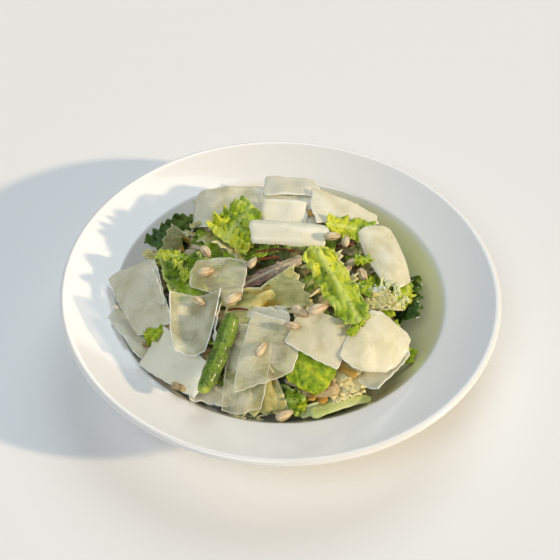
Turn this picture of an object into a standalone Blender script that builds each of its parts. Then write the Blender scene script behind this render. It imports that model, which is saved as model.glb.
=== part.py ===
"""Chicken pasta salad with its rimmed plate: the construction.

Every size in this file is in millimetres, and put() turns it into Blender's
metres. X runs to the eater's right, Y away from the eater and Z up. The origin
is the middle of the ring that the plate stands on.

The plate is turned on its axis. The salad is a heap: a smooth core that fits
the well, with scraps of leaf, pasta, chicken and onion fused on where nothing
larger lies. Each larger piece is a solid of its own. It is shaped by one of the
functions below, turned to its pose and lowered until it lies on the pieces
before it, so the order of the calls in the lay_... functions is the order of
the layers, from the bottom up.
"""
import math

import bmesh
import bpy
import numpy as np
from mathutils import Matrix
from mathutils.bvhtree import BVHTree

MM = 0.001

# The plate
PLATE_RADIUS = 135.0
PLATE_HEIGHT = 45.0
WELL_RADIUS = 102.0
WELL_EDGE_HEIGHT = 34.4
WELL_FLOOR_HEIGHT = 8.4
WELL_FLOOR_RADIUS = 60.0
WALL_SLOPE = math.radians(50)
WALL_BEND = ((WELL_RADIUS - WELL_FLOOR_RADIUS
              - (WELL_EDGE_HEIGHT - WELL_FLOOR_HEIGHT) / math.tan(WALL_SLOPE))
             / math.tan(WALL_SLOPE / 2))
PLATE_THICKNESS = 4.6
LIP_RADIUS = 2.3
FOOT_RADIUS = 58.0
FOOT_WIDTH = 5.0
FOOT_HEIGHT = 3.0
PLATE_SEGMENTS = 60

# The heap's core
CORE_PEAK = 58.0
CORE_FLOOR = 14.0
CORE_MIDDLE = (-6.0, 0.0)
CORE_HALF_SPAN = (84.0, 81.0)
CORE_REACH = 82.0
CORE_REACH_DIP = 5.0
CORE_EDGE = 2.2
CORE_BUMP = 1.3
CORE_RINGS = 9
CORE_SEGMENTS = 36

# What keeps neighbours apart
GAP = 0.4
LIFT_STEP = 0.25
DROP_HEIGHT = 150.0

# Sheets: shavings of hard cheese and leaves
SHAVING_THICKNESS = 1.5
LEAF_THICKNESS = 1.3
CURL_START = 0.45

# Pasta bows
BOW_LENGTH = 42.0
BOW_WIDTH = 27.0
BOW_THICKNESS = 1.7
BOW_WAIST = 0.42
BOW_PLEAT = 4.2
BOW_TEETH = 1.3

# Pine nuts and the bean
NUT_LENGTH = 11.0
NUT_WIDTH = 6.2
BEAN_WIDTH = 10.5


# ---------------------------------------------------------------- shapes

def rolled(along, half, bend, curl):
    """Carry distances along a flat strip onto the strip bent in its own plane.

    bend is the whole strip's turn in degrees. curl adds a turn to the first
    and the last stretch. Returns the distance, the height and the slope angle.
    """
    step = np.linspace(-1.3, 1.3, 105)
    outer = np.clip((np.abs(step) - CURL_START) / (1 - CURL_START), 0, 1)
    ends = np.where(step < 0, -curl[0], curl[1])
    lean = np.radians(bend * step / 2 + ends * outer ** 1.5)
    width = (step[1] - step[0]) * half
    across = np.cumsum(np.cos(lean)) * width
    height = np.cumsum(np.sin(lean)) * width
    middle = len(step) // 2
    along = along / half
    return (np.interp(along, step, across - across[middle]),
            np.interp(along, step, height - height[middle]),
            np.interp(along, step, lean))


def arched(across, half, cup):
    """Carry distances across a flat strip onto an arc of cup degrees in all."""
    if abs(cup) < 1:
        return across, np.zeros_like(across)
    radius = 2 * half / math.radians(cup)
    return radius * np.sin(across / radius), radius * (1 - np.cos(across / radius))


def slab(middle, half_thickness):
    """Close a grid of points into a slab whose two faces have like triangles."""
    along = np.gradient(middle, axis=0)
    across = np.gradient(middle, axis=1)
    normal = np.cross(along, across)
    normal /= np.linalg.norm(normal, axis=-1, keepdims=True)
    shift = normal * np.asarray(half_thickness)[..., None]
    rows, columns = middle.shape[:2]
    points = np.concatenate([(middle + shift).reshape(-1, 3), (middle - shift).reshape(-1, 3)])
    number = np.arange(rows * columns).reshape(rows, columns)
    under = rows * columns
    faces = []
    for row in range(rows - 1):
        for column in range(columns - 1):
            a, b = number[row, column], number[row + 1, column]
            c, d = number[row + 1, column + 1], number[row, column + 1]
            faces += [(a, b, c), (a, c, d)]
            faces += [(under + a, under + c, under + b), (under + a, under + d, under + c)]
    rim = [*number[:, 0], *number[-1, 1:], *number[-2::-1, -1], *number[0, -2:0:-1]]
    for start, end in zip(rim, rim[1:] + rim[:1]):
        faces += [(under + start, under + end, end), (under + start, end, start)]
    return points, faces


def sheet(length, width, end_width=None, skew=0, bend=0, cup=0, curl=(0, 0), ruffle=0, waves=3,
          rounding=0.4, uneven=0.03, thickness=SHAVING_THICKNESS, rib=0, grid=(8, 5), seed=0):
    """A thin bent slab: u runs along its length and v across it, from -1 to 1.

    rounding draws the corners in, uneven waves the outline, skew slants it,
    bend and curl bend it along its length, cup across it, and ruffle waves its
    long edges. rib thickens it along its middle, most at its first end.
    """
    end_width = width if end_width is None else end_width
    u, v = np.meshgrid(np.linspace(-1, 1, grid[0] + 1), np.linspace(-1, 1, grid[1] + 1),
                       indexing="ij")
    phase = np.random.default_rng(seed).uniform(0, 2 * math.pi, 4)
    turn = np.arctan2(v, u)
    outline = 1 + uneven * (np.sin(3 * turn + phase[0]) + 0.6 * np.sin(5 * turn + phase[1]))
    half_width = ((1 - u) * width + (1 + u) * end_width) / 4
    across = v * np.sqrt(1 - rounding * u ** 2 / 2) * outline * half_width
    along = u * np.sqrt(1 - rounding * v ** 2 / 2) * outline * length / 2
    along = along + math.tan(math.radians(skew)) * across
    x, z, lean = rolled(along, length / 2, bend, curl)
    y, rise = arched(across, max(width, end_width) / 2, cup)
    wave = np.sin(waves * math.pi * u + phase[2]) + 0.5 * np.sin(1.7 * waves * math.pi * u + phase[3])
    rise = rise + ruffle * np.abs(v) ** 1.5 * wave * np.sign(v + 0.3)
    middle = np.stack([x - np.sin(lean) * rise, y, z + np.cos(lean) * rise], axis=-1)
    half_thickness = thickness / 2 + rib / 2 * np.exp(-(v / 0.25) ** 2) * (1.2 - u) / 2.2
    return slab(middle, half_thickness)


def leaf(*sizes, **form):
    """A sheet of a leaf's thickness."""
    return sheet(*sizes, thickness=LEAF_THICKNESS, **form)


def bow(length=BOW_LENGTH, width=BOW_WIDTH, first=-1.0, last=1.0, fold=0.0, grid=(10, 8)):
    """A pasta bow from first to last along its length, pinched at 0.

    Across, its height is a wave of three pleats that fades towards the ends,
    and the ends are cut in teeth.
    """
    u, v = np.meshgrid(np.linspace(first, last, grid[0] + 1), np.linspace(-1, 1, grid[1] + 1),
                       indexing="ij")
    waist = BOW_WAIST + (1 - BOW_WAIST) * np.abs(u) ** 0.8
    tooth = BOW_TEETH * np.cos(grid[1] * math.pi * (v + 1) / 2) * np.abs(u) ** 4
    x = u * length / 2 + np.sign(u) * tooth
    y = v * waist * width / 2
    pleat = BOW_PLEAT * np.cos(1.5 * math.pi * v) * np.exp(-(u / 0.45) ** 2)
    z = pleat + fold * np.abs(u) * length / 2 + 1.2 * np.sin(2.5 * v + 3 * u) * np.abs(u)
    return slab(np.stack([x, y, z], axis=-1), BOW_THICKNESS / 2 * np.ones_like(u))


def spindle(length, radii, bend=0.0, sides=8, flatten=1.0):
    """A solid of round sections along X with the given radii, closed by a point at each end."""
    rings = len(radii)
    place = -0.5 * np.cos(np.linspace(0, math.pi, rings + 2))
    middle = np.stack([place * length, np.zeros(rings + 2), bend * (4 * place ** 2 - 1)], axis=-1)
    turn = np.arange(sides) * 2 * math.pi / sides
    points = [middle[0]]
    for ring, radius in enumerate(radii, start=1):
        circle = np.stack([np.zeros(sides), np.cos(turn) * radius,
                           np.sin(turn) * radius * flatten], axis=-1)
        points.extend(middle[ring] + circle)
    points.append(middle[-1])
    faces = []
    for side in range(sides):
        after = (side + 1) % sides
        faces.append((0, 1 + after, 1 + side))
        for ring in range(rings - 1):
            a, b = 1 + ring * sides + side, 1 + ring * sides + after
            faces += [(a, b, b + sides), (a, b + sides, a + sides)]
        last = 1 + (rings - 1) * sides
        faces.append((last + side, last + after, len(points) - 1))
    return np.array(points), faces


def pine_nut(length=NUT_LENGTH):
    width = NUT_WIDTH * length / NUT_LENGTH
    return spindle(length, [0.36 * width, 0.5 * width, 0.42 * width, 0.24 * width], sides=6)


def green_bean(length):
    radii = [0.36, 0.46, 0.49, 0.46, 0.5, 0.46, 0.42, 0.26]
    return spindle(length, [part * BEAN_WIDTH for part in radii], bend=3.5, sides=8)


def torn_chicken(length, width, height, seed):
    """A torn strip of chicken: a spindle whose points are moved unevenly."""
    points, faces = spindle(length, [0.36 * width, 0.5 * width, 0.47 * width, 0.38 * width],
                            sides=7, flatten=height / width)
    shove = np.random.default_rng(seed).uniform(-0.09, 0.09, points.shape) * width
    return points + shove, faces


# ---------------------------------------------------------------- the plate's and the core's form

def well_height(radius):
    """The height of the plate's inside: a flat floor, a bend and then a straight wall."""
    out = np.clip(np.asarray(radius, float), WELL_FLOOR_RADIUS, WELL_RADIUS) - WELL_FLOOR_RADIUS
    bent = np.minimum(out, WALL_BEND * math.sin(WALL_SLOPE))
    rise = WALL_BEND - np.sqrt(WALL_BEND ** 2 - bent ** 2)
    return WELL_FLOOR_HEIGHT + rise + (out - bent) * math.tan(WALL_SLOPE)


def core_height(x, y):
    """The height of the core's top: half an ellipsoid with low bumps."""
    inside = 1 - ((x - CORE_MIDDLE[0]) / CORE_HALF_SPAN[0]) ** 2 \
        - ((y - CORE_MIDDLE[1]) / CORE_HALF_SPAN[1]) ** 2
    dome = CORE_FLOOR + (CORE_PEAK - CORE_FLOOR) * np.sqrt(np.clip(inside, 0, 1))
    bumps = CORE_BUMP * (np.sin(x / 6.5) * np.cos(y / 8.0) + np.sin(x / 13.0 + y / 9.0))
    lowest = well_height(np.hypot(x, y)) + GAP + CORE_EDGE
    return np.maximum(dome + bumps, lowest)


def turned(profile, segments):
    """Turn an open profile of (radius, height) pairs round Z and cap its two ends."""
    turn = np.arange(segments) * 2 * math.pi / segments
    points = [(radius * math.cos(angle), radius * math.sin(angle), height)
              for angle in turn for radius, height in profile]
    count = len(profile)
    faces = []
    for segment in range(segments):
        this, after = segment * count, (segment + 1) % segments * count
        for corner in range(count - 1):
            faces.append((this + corner, this + corner + 1, after + corner + 1, after + corner))
    top = [segment * count for segment in range(segments)]
    bottom = [segment * count + count - 1 for segment in reversed(range(segments))]
    return points, faces + [tuple(top), tuple(bottom)]


def plate_profile():
    """The plate's half section from the well's middle out and back below it."""
    inner = [(radius, float(well_height(radius)))
             for radius in (20, WELL_FLOOR_RADIUS, 70, 78, 86, 93.2, 101.4)]
    inner.append((WELL_RADIUS + 0.6, WELL_EDGE_HEIGHT + 0.5))
    rim_end = PLATE_RADIUS - LIP_RADIUS
    lip = [(rim_end + LIP_RADIUS * math.sin(angle), PLATE_HEIGHT - LIP_RADIUS * (1 - math.cos(angle)))
           for angle in np.radians((0, 45, 90, 135, 180))]
    outer = [(WELL_RADIUS + 2, WELL_EDGE_HEIGHT - PLATE_THICKNESS + 0.6),
             (99, 25.0), (90, 14.0), (80, 6.8), (70, FOOT_HEIGHT + 0.4)]
    foot = [(FOOT_RADIUS + FOOT_WIDTH / 2 + 0.8, FOOT_HEIGHT), (FOOT_RADIUS + FOOT_WIDTH / 2, 0),
            (FOOT_RADIUS - FOOT_WIDTH / 2, 0), (FOOT_RADIUS - FOOT_WIDTH / 2 - 0.8, FOOT_HEIGHT),
            (20, FOOT_HEIGHT)]
    return inner + lip + outer + foot


# ---------------------------------------------------------------- placing

def posed(shape, at, heading=0, pitch=0, roll=0):
    """Turn a shape (roll about its length, then pitch, then heading) and move it."""
    points, faces = shape
    turn = (Matrix.Rotation(math.radians(heading), 3, "Z")
            @ Matrix.Rotation(math.radians(-pitch), 3, "Y")
            @ Matrix.Rotation(math.radians(roll), 3, "X"))
    return np.asarray(points) @ np.array(turn).T + np.array([*at, 0]), faces


def samples(points, faces):
    """A solid's corners and the middles of its edges."""
    edges = {tuple(sorted((face[i], face[i - 1]))) for face in faces for i in range(len(face))}
    first, second = np.array(sorted(edges)).T
    return np.concatenate([points, (points[first] + points[second]) / 2])


class Pile:
    """The solids already in place, and how a new one comes to lie on them."""

    def __init__(self):
        self.points = np.zeros((0, 3))
        self.faces = []

    def add(self, points, faces):
        shift = len(self.points)
        self.points = np.concatenate([self.points, np.asarray(points, float)])
        self.faces += [tuple(int(corner) + shift for corner in face) for face in faces]
        self.tree = BVHTree.FromPolygons(self.points.tolist(), self.faces)
        self.samples = samples(self.points, self.faces)

    def crosses(self, points, faces):
        tree = BVHTree.FromPolygons(points.tolist(), faces)
        return bool(self.tree.overlap(tree))

    def is_near(self, points, faces, distance):
        """Whether any sample of the new solid lies within distance of the pile."""
        return any(self.tree.find_nearest(point, distance)[0] is not None
                   for point in samples(points, faces).tolist())

    def drop(self, points, faces):
        """Lower a solid from above until it lies on the pile, GAP clear of it."""
        points = points + np.array([0, 0, DROP_HEIGHT - points[:, 2].min()])
        tree = BVHTree.FromPolygons(points.tolist(), faces)
        falls = [self.tree.ray_cast(point, (0, 0, -1))[3] for point in samples(points, faces).tolist()]
        low, high = points.min(axis=0), points.max(axis=0)
        near = np.all((self.samples[:, :2] >= low[:2]) & (self.samples[:, :2] <= high[:2]), axis=1)
        falls += [tree.ray_cast(point, (0, 0, 1))[3] for point in self.samples[near].tolist()]
        points = points - np.array([0, 0, min(fall for fall in falls if fall is not None) - GAP])
        while self.crosses(points, faces) or self.crosses(points - np.array([0, 0, GAP]), faces):
            points = points + np.array([0, 0, LIFT_STEP])
        return points, faces


# ---------------------------------------------------------------- Blender objects

# Slot: its linear colour and its roughness
MATERIALS = {
    "porcelain": ((0.86, 0.85, 0.82), 0.12),
    "parmesan": ((0.78, 0.74, 0.58), 0.45),
    "lettuce": ((0.36, 0.48, 0.06), 0.4),
    "dark_leaf": ((0.06, 0.13, 0.03), 0.4),
    "radicchio": ((0.22, 0.05, 0.07), 0.4),
    "pasta": ((0.74, 0.60, 0.27), 0.35),
    "pine_nut": ((0.78, 0.54, 0.27), 0.4),
    "green_bean": ((0.22, 0.40, 0.04), 0.3),
    "chicken": ((0.55, 0.40, 0.20), 0.5),
    "salad": ((0.22, 0.29, 0.06), 0.45),
}


def material(slot):
    """The Principled material of one slot, made once."""
    made = bpy.data.materials.get(slot)
    if made is None:
        colour, roughness = MATERIALS[slot]
        made = bpy.data.materials.new(slot)
        made.use_nodes = True
        shader = made.node_tree.nodes["Principled BSDF"]
        shader.inputs["Base Color"].default_value = (*colour, 1)
        shader.inputs["Roughness"].default_value = roughness
        shader.inputs["Metallic"].default_value = 0
    return made


def put(name, shape, slot, smooth=False):
    """Make a shape in millimetres into an object in metres."""
    points, faces = shape
    mesh = bpy.data.meshes.new(name)
    mesh.from_pydata((np.asarray(points) * MM).tolist(), [], [tuple(map(int, face)) for face in faces])
    mesh.validate()
    if smooth:
        mesh.polygons.foreach_set("use_smooth", [True] * len(mesh.polygons))
    mesh.materials.append(material(slot))
    made = bpy.data.objects.new(name, mesh)
    bpy.context.scene.collection.objects.link(made)
    return made


def lay(pile, name, at, shape, heading=0, pitch=0, roll=0):
    """Lower one piece onto the pile and make it a node, with the material its name begins with."""
    points, faces = pile.drop(*posed(shape, at, heading, pitch, roll))
    pile.add(points, faces)
    slot = next(slot for slot in MATERIALS if name.startswith(slot))
    return put(name, (points, faces), slot)


# ---------------------------------------------------------------- the plate

def make_plate(pile):
    points, faces = turned(plate_profile(), PLATE_SEGMENTS)
    pile.add(points, faces)
    return put("plate", (points, faces), "porcelain", smooth=True)


# ---------------------------------------------------------------- the core

def core_reach(angle):
    """How far the heap reaches from the plate's axis: less at the right, where the wall shows."""
    return CORE_REACH - CORE_REACH_DIP * max(0.0, math.cos(angle)) + 0.9 * math.sin(5 * angle)


def core_shape():
    """The core: a dome of rings over an underside that follows the well."""
    turn = np.arange(CORE_SEGMENTS) * 2 * math.pi / CORE_SEGMENTS
    top_rings = np.linspace(0, 1, CORE_RINGS + 1)[1:] ** 0.85
    under_rings = (1.0, 0.93, 0.84, 0.67, 0.3)
    points = [(0, 0, float(core_height(0.0, 0.0)))]
    for part in top_rings:
        for angle in turn:
            x = part * core_reach(angle) * math.cos(angle)
            y = part * core_reach(angle) * math.sin(angle)
            points.append((x, y, float(core_height(x, y))))
    for part in under_rings:
        for angle in turn:
            reach = part * core_reach(angle)
            points.append((reach * math.cos(angle), reach * math.sin(angle),
                           float(well_height(reach)) + GAP + 0.4))
    points.append((0, 0, WELL_FLOOR_HEIGHT + GAP + 0.4))
    rings = len(top_rings) + len(under_rings)
    faces = []
    for side in range(CORE_SEGMENTS):
        after = (side + 1) % CORE_SEGMENTS
        faces.append((0, 1 + side, 1 + after))
        for ring in range(rings - 1):
            a, b = 1 + ring * CORE_SEGMENTS + side, 1 + ring * CORE_SEGMENTS + after
            c, d = b + CORE_SEGMENTS, a + CORE_SEGMENTS
            faces += [(a, d, c), (a, c, b)]
        last = 1 + (rings - 1) * CORE_SEGMENTS
        faces.append((last + side, len(points) - 1, last + after))
    return np.array(points), faces


# ---------------------------------------------------------------- the pieces, from the bottom up

def lay_edge_pieces(pile):
    """What shows low down, between the heap and the wall of the well."""
    lay(pile, "lettuce_rib_front", at=(31.3, -82), heading=24, pitch=2, roll=50,
        shape=leaf(42, 8, 5, bend=-34, cup=35, grid=(7, 2), seed=3))
    lay(pile, "lettuce_tip_right", at=(69.2, -47.8), heading=8, pitch=-20, roll=30,
        shape=leaf(28, 18, 9, skew=20, bend=-20, ruffle=0.8, grid=(5, 3), seed=5))
    lay(pile, "dark_leaf_right", at=(80, -5), heading=82, pitch=4, roll=-46,
        shape=leaf(34, 20, 14, cup=-30, ruffle=1.6, waves=4, grid=(7, 4), seed=6))
    lay(pile, "dark_leaf_front", at=(4, -84), heading=-10, pitch=4, roll=42,
        shape=leaf(23, 18, 14, cup=-25, ruffle=1.4, grid=(6, 4), seed=7))
    lay(pile, "dark_leaf_back_left", at=(-70, 36), heading=58, pitch=4, roll=8,
        shape=leaf(34, 24, 16, cup=-30, ruffle=2.6, waves=5, grid=(8, 4), seed=8))
    lay(pile, "pasta_bow_right", at=(41, -66), heading=33, roll=32,
        shape=bow(length=38, grid=(8, 8)))
    lay(pile, "pasta_bow_front", at=(-8, -77.2), heading=-84, pitch=-46,
        shape=bow(first=0.1, grid=(5, 8)))
    lay(pile, "pasta_bow_left", at=(-60, -45), heading=172, pitch=-30, roll=6,
        shape=bow(length=32, width=22, first=0, grid=(4, 8)))
    lay(pile, "chicken_front", at=(24, -82), heading=8, roll=20,
        shape=torn_chicken(20, 9, 7, seed=1))
    lay(pile, "chicken_left", at=(-77, 14), heading=-43, pitch=8, roll=10,
        shape=torn_chicken(18, 8, 6, seed=2))


def lay_leaves(pile):
    """The larger lettuce leaves that lie under the cheese, and the pasta beside them."""
    lay(pile, "lettuce_front", at=(17, -76), heading=-36, pitch=-16, roll=26,
        shape=leaf(28, 24, 22, bend=-25, cup=-20, ruffle=1.2, rib=1.2, grid=(6, 5), seed=11))
    lay(pile, "lettuce_left", at=(-57, -11), heading=-75, pitch=-3, roll=18,
        shape=leaf(36, 28, 24, bend=-20, cup=65, ruffle=2.8, rib=1.0, grid=(8, 6), seed=12))
    lay(pile, "lettuce_right", at=(54, -20), heading=-60, pitch=-14, roll=-8,
        shape=leaf(34, 24, 18, bend=-20, ruffle=1.0, grid=(6, 4), seed=13))
    lay(pile, "pasta_bow_back_left", at=(-61, 18), heading=160, pitch=-14, roll=-10,
        shape=bow(first=0, length=28, grid=(4, 8)))
    lay(pile, "pasta_bow_back_right", at=(52, -29), heading=24, pitch=-20,
        shape=bow(length=34, width=22, first=0, grid=(4, 8)))


def lay_outer_shavings(pile):
    """The outer shavings of hard cheese, and a leaf that lies on one."""
    lay(pile, "parmesan_back_left", at=(-35, 45), heading=-2, pitch=8,
        shape=sheet(58, 38, 36, bend=-30, curl=(-85, 0), cup=-12, rounding=0.25, grid=(10, 4),
                    seed=21))
    lay(pile, "parmesan_back", at=(5, 62), pitch=-2, roll=-14,
        shape=sheet(36, 26, 24, bend=-14, grid=(5, 3), seed=22))
    lay(pile, "parmesan_back_right", at=(40, 42), heading=5, pitch=-20,
        shape=sheet(46, 36, 8, bend=-16, cup=-10, rounding=0.15, grid=(7, 4), seed=23))
    lay(pile, "lettuce_back_right", at=(43, 25), heading=6, pitch=-18, roll=18,
        shape=leaf(34, 15, 17, cup=-20, ruffle=1.8, grid=(7, 4), seed=14))
    lay(pile, "parmesan_left", at=(-84, -23), heading=-67, pitch=-2, roll=24,
        shape=sheet(54, 33, 24, skew=12, bend=-26, cup=-34, rounding=0.15, grid=(8, 5), seed=24))
    lay(pile, "parmesan_front_left", at=(-58, -70), heading=-39, roll=34,
        shape=sheet(44, 27, 22, bend=-14, cup=-10, rounding=0.2, grid=(7, 4), seed=25))
    lay(pile, "parmesan_right", at=(65, 8), heading=-70, pitch=-15, roll=-14,
        shape=sheet(45, 29, 26, skew=4, bend=-20, cup=-75, rounding=0.6, grid=(7, 6), seed=30))


def lay_middle_pieces(pile):
    """The pieces that lie over the heap's middle and down its front."""
    lay(pile, "radicchio_centre", at=(-6, -12), heading=32, pitch=4, roll=12,
        shape=leaf(44, 9, 7, bend=-16, cup=-30, ruffle=0.6, waves=3, rib=1.2, grid=(8, 2), seed=31))
    lay(pile, "pasta_bow_centre", at=(-9, -32), heading=23, pitch=6, roll=12,
        shape=bow(length=48, width=31, fold=-0.1, grid=(8, 8)))
    lay(pile, "parmesan_middle_left", at=(-37, -21), heading=-14, pitch=6, roll=10,
        shape=sheet(34, 22, 30, skew=-6, bend=-14, cup=-16, grid=(6, 5), seed=43))
    lay(pile, "parmesan_front_low", at=(-18, -77), heading=-98, pitch=-37, roll=4,
        shape=sheet(50, 25, 24, bend=-25, cup=-10, skew=-8, rounding=0.25, grid=(7, 4), seed=26))
    lay(pile, "green_bean", at=(-34, -75), heading=-110, pitch=-22,
        shape=green_bean(48))
    lay(pile, "parmesan_front", at=(-5, -71), heading=4, pitch=-2, roll=27,
        shape=sheet(32, 50, 24, skew=14, bend=-14, cup=-20, rounding=0.25, grid=(5, 6), seed=27))
    lay(pile, "parmesan_centre_right", at=(24, -62), heading=-16, pitch=-18, roll=20,
        shape=sheet(35, 26, 28, skew=10, bend=-14, rounding=0.15, grid=(6, 4), seed=28))
    lay(pile, "parmesan_right_front", at=(56, -61), heading=-12, pitch=-28, roll=18,
        shape=sheet(35, 41, 32, skew=14, bend=-20, cup=-20, rounding=0.6, grid=(6, 6), seed=29))
    lay(pile, "parmesan_left_cup", at=(-49, -52), heading=-92, pitch=-10, roll=6,
        shape=sheet(40, 36, 20, bend=12, cup=115, rounding=0.15, grid=(6, 7), seed=44))


def lay_top_pieces(pile):
    """The pieces on top of the heap."""
    lay(pile, "parmesan_top_back", at=(1, 34), roll=24,
        shape=sheet(28, 17, 15, bend=-10, rounding=0.15, grid=(5, 3), seed=45))
    lay(pile, "lettuce_back", at=(-27, 22), heading=60, pitch=10, roll=2,
        shape=leaf(33, 37, 20, skew=12, bend=-14, cup=-20, ruffle=3.0, waves=4, rib=1.0, grid=(9, 6),
                   seed=41))
    lay(pile, "parmesan_top_roll", at=(4, 9), heading=-2, pitch=-2, roll=8,
        shape=sheet(47, 22, 19, bend=-12, cup=-110, rounding=0.25, grid=(7, 7), seed=46))
    lay(pile, "lettuce_centre", at=(32, -34), heading=-58, pitch=-18, roll=2,
        shape=leaf(54, 22, 20, skew=6, bend=-20, cup=-50, ruffle=1.8, waves=4, rib=2.2, grid=(10, 5),
                   seed=42))


NUTS = [
    # x, y, heading, length
    (30, 4, 5, 10.5), (39, 13, 80, 10.0), (44, 7, 35, 11.0), (40, -3, 60, 10.5), (49, -8, -70, 11.5),
    (-17, -13, 60, 9.5), (-45, -5, -60, 10.5), (-44, -21, 15, 11.0), (-27, -40, 40, 13.0),
    (-47, -40, -35, 10.0), (11, -53, -35, 12.0), (7, -61, -10, 9.5), (21, -53, 25, 12.5),
    (-10, -73, 60, 11.0), (4, -94, 30, 11.5),
]


def lay_nuts(pile):
    """The pine nuts, each lowered onto what lies below it."""
    for count, (x, y, heading, length) in enumerate(NUTS, start=1):
        lay(pile, f"pine_nut_{count:02d}", at=(x, y), heading=heading, shape=pine_nut(length))


# ---------------------------------------------------------------- what is fused to the core

SCRAPS = 30
SCRAP_TRIES = 900
SCRAP_SEED = 8
SCRAP_CLEARANCE = 0.35


def scrap(kind, rng):
    """One small piece of the heap, at true size and with few sides."""
    size = rng.uniform(0.8, 1.2)
    seed = int(rng.integers(1000))
    if kind == "pasta":
        return bow(length=32 * size, width=23 * size, grid=(5, 4))
    if kind == "onion":
        return sheet(24 * size, 4.5, 3.5, bend=-60, thickness=1.6, grid=(5, 1), seed=seed)
    if kind == "chicken":
        return torn_chicken(17 * size, 9 * size, 7 * size, seed)
    return sheet(22 * size, 16 * size, 12 * size, bend=-20, cup=rng.uniform(-40, 40), ruffle=1.4,
                 thickness=LEAF_THICKNESS, grid=(4, 3), seed=seed)


def core_lean(x, y):
    """The slope of the core at a place, as a turn from level."""
    rise_x = float(core_height(x + 3, y) - core_height(x - 3, y)) / 6
    rise_y = float(core_height(x, y + 3) - core_height(x, y - 3)) / 6
    axis = np.array([rise_y, -rise_x, 0.0])
    steepness = math.hypot(rise_x, rise_y)
    return Matrix.Rotation(-math.atan(steepness), 3, axis / max(steepness, 1e-6))


def scraps(pile):
    """Draw scraps over the core, and keep those that clear everything laid on it."""
    rng = np.random.default_rng(SCRAP_SEED)
    kept = []
    for _ in range(SCRAP_TRIES):
        if len(kept) == SCRAPS:
            break
        kind = rng.choice(["leaf", "leaf", "leaf", "pasta", "onion", "chicken"])
        angle = rng.uniform(0, 2 * math.pi)
        reach = math.sqrt(rng.uniform(0.05, 0.9)) * core_reach(angle)
        x, y = reach * math.cos(angle), reach * math.sin(angle)
        shape = posed(scrap(kind, rng), (0, 0), rng.uniform(0, 360), rng.uniform(4, 26),
                      rng.uniform(-24, 24))
        points = shape[0] @ np.array(core_lean(x, y)).T
        points = points + np.array([x, y, float(core_height(x, y)) + 0.9])
        crowded = any(np.linalg.norm(points.mean(axis=0) - other.mean(axis=0)) < 8 for other, _ in kept)
        if crowded or pile.crosses(points, shape[1]):
            continue
        if not pile.is_near(points, shape[1], SCRAP_CLEARANCE):
            kept.append((points, shape[1]))
    return kept


def fuse(core, pieces, collection):
    """Join the pieces to the core with one Boolean union, then keep its one outer shell."""
    for count, piece in enumerate(pieces):
        made = put(f"fused_{count}", piece, "salad")
        bpy.context.scene.collection.objects.unlink(made)
        collection.objects.link(made)
    union = core.modifiers.new("union", "BOOLEAN")
    union.operation = "UNION"
    union.operand_type = "COLLECTION"
    union.collection = collection
    union.solver = "MANIFOLD"
    evaluated = core.evaluated_get(bpy.context.evaluated_depsgraph_get())
    mesh = bpy.data.meshes.new_from_object(evaluated)
    core.modifiers.clear()
    core.data = mesh
    keep_largest_shell(mesh)
    for made in list(collection.objects):
        bpy.data.objects.remove(made)
    bpy.data.collections.remove(collection)


def keep_largest_shell(mesh):
    """Drop loose scraps and the walls of sealed hollows."""
    edit = bmesh.new()
    edit.from_mesh(mesh)
    bmesh.ops.triangulate(edit, faces=edit.faces[:])
    bmesh.ops.dissolve_degenerate(edit, edges=edit.edges[:], dist=2e-6)
    edit.verts.ensure_lookup_table()
    unseen = set(edit.verts)
    shells = []
    while unseen:
        shell, front = set(), [unseen.pop()]
        while front:
            corner = front.pop()
            shell.add(corner)
            for edge in corner.link_edges:
                other = edge.other_vert(corner)
                if other in unseen:
                    unseen.discard(other)
                    front.append(other)
        shells.append(shell)
    largest = max(shells, key=len)
    loose = [corner for shell in shells if shell is not largest for corner in shell]
    bmesh.ops.delete(edit, geom=loose, context="VERTS")
    edit.to_mesh(mesh)
    edit.free()


# ---------------------------------------------------------------- the whole

def main():
    for old in list(bpy.data.objects):
        bpy.data.objects.remove(old, do_unlink=True)
    pile = Pile()
    make_plate(pile)
    plate_faces = len(pile.faces)
    core_points, core_faces = core_shape()
    core = put("salad_heap", (core_points, core_faces), "salad")
    pile.add(core_points, core_faces)
    lay_edge_pieces(pile)
    lay_leaves(pile)
    lay_outer_shavings(pile)
    lay_middle_pieces(pile)
    lay_top_pieces(pile)
    lay_nuts(pile)
    around = Pile()
    around.add(pile.points, pile.faces[:plate_faces] + pile.faces[plate_faces + len(core_faces):])
    collection = bpy.data.collections.new("fused pieces")
    bpy.context.scene.collection.children.link(collection)
    fuse(core, scraps(around), collection)


main()
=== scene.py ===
"""Chicken pasta salad on its rimmed plate: the looks.

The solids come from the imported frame. Each one is replaced by a finer piece of
the same form in the same place, and what is too small for a solid is added.

Shapes are worked out in millimetres and made into meshes in metres. X runs to
the eater's right, Y away from the eater and Z up.
"""
import math

import bpy
import numpy as np
from bpy.props import FloatProperty, FloatVectorProperty, IntProperty, PointerProperty
from mathutils import Matrix, Vector
from mathutils.bvhtree import BVHTree


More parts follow.
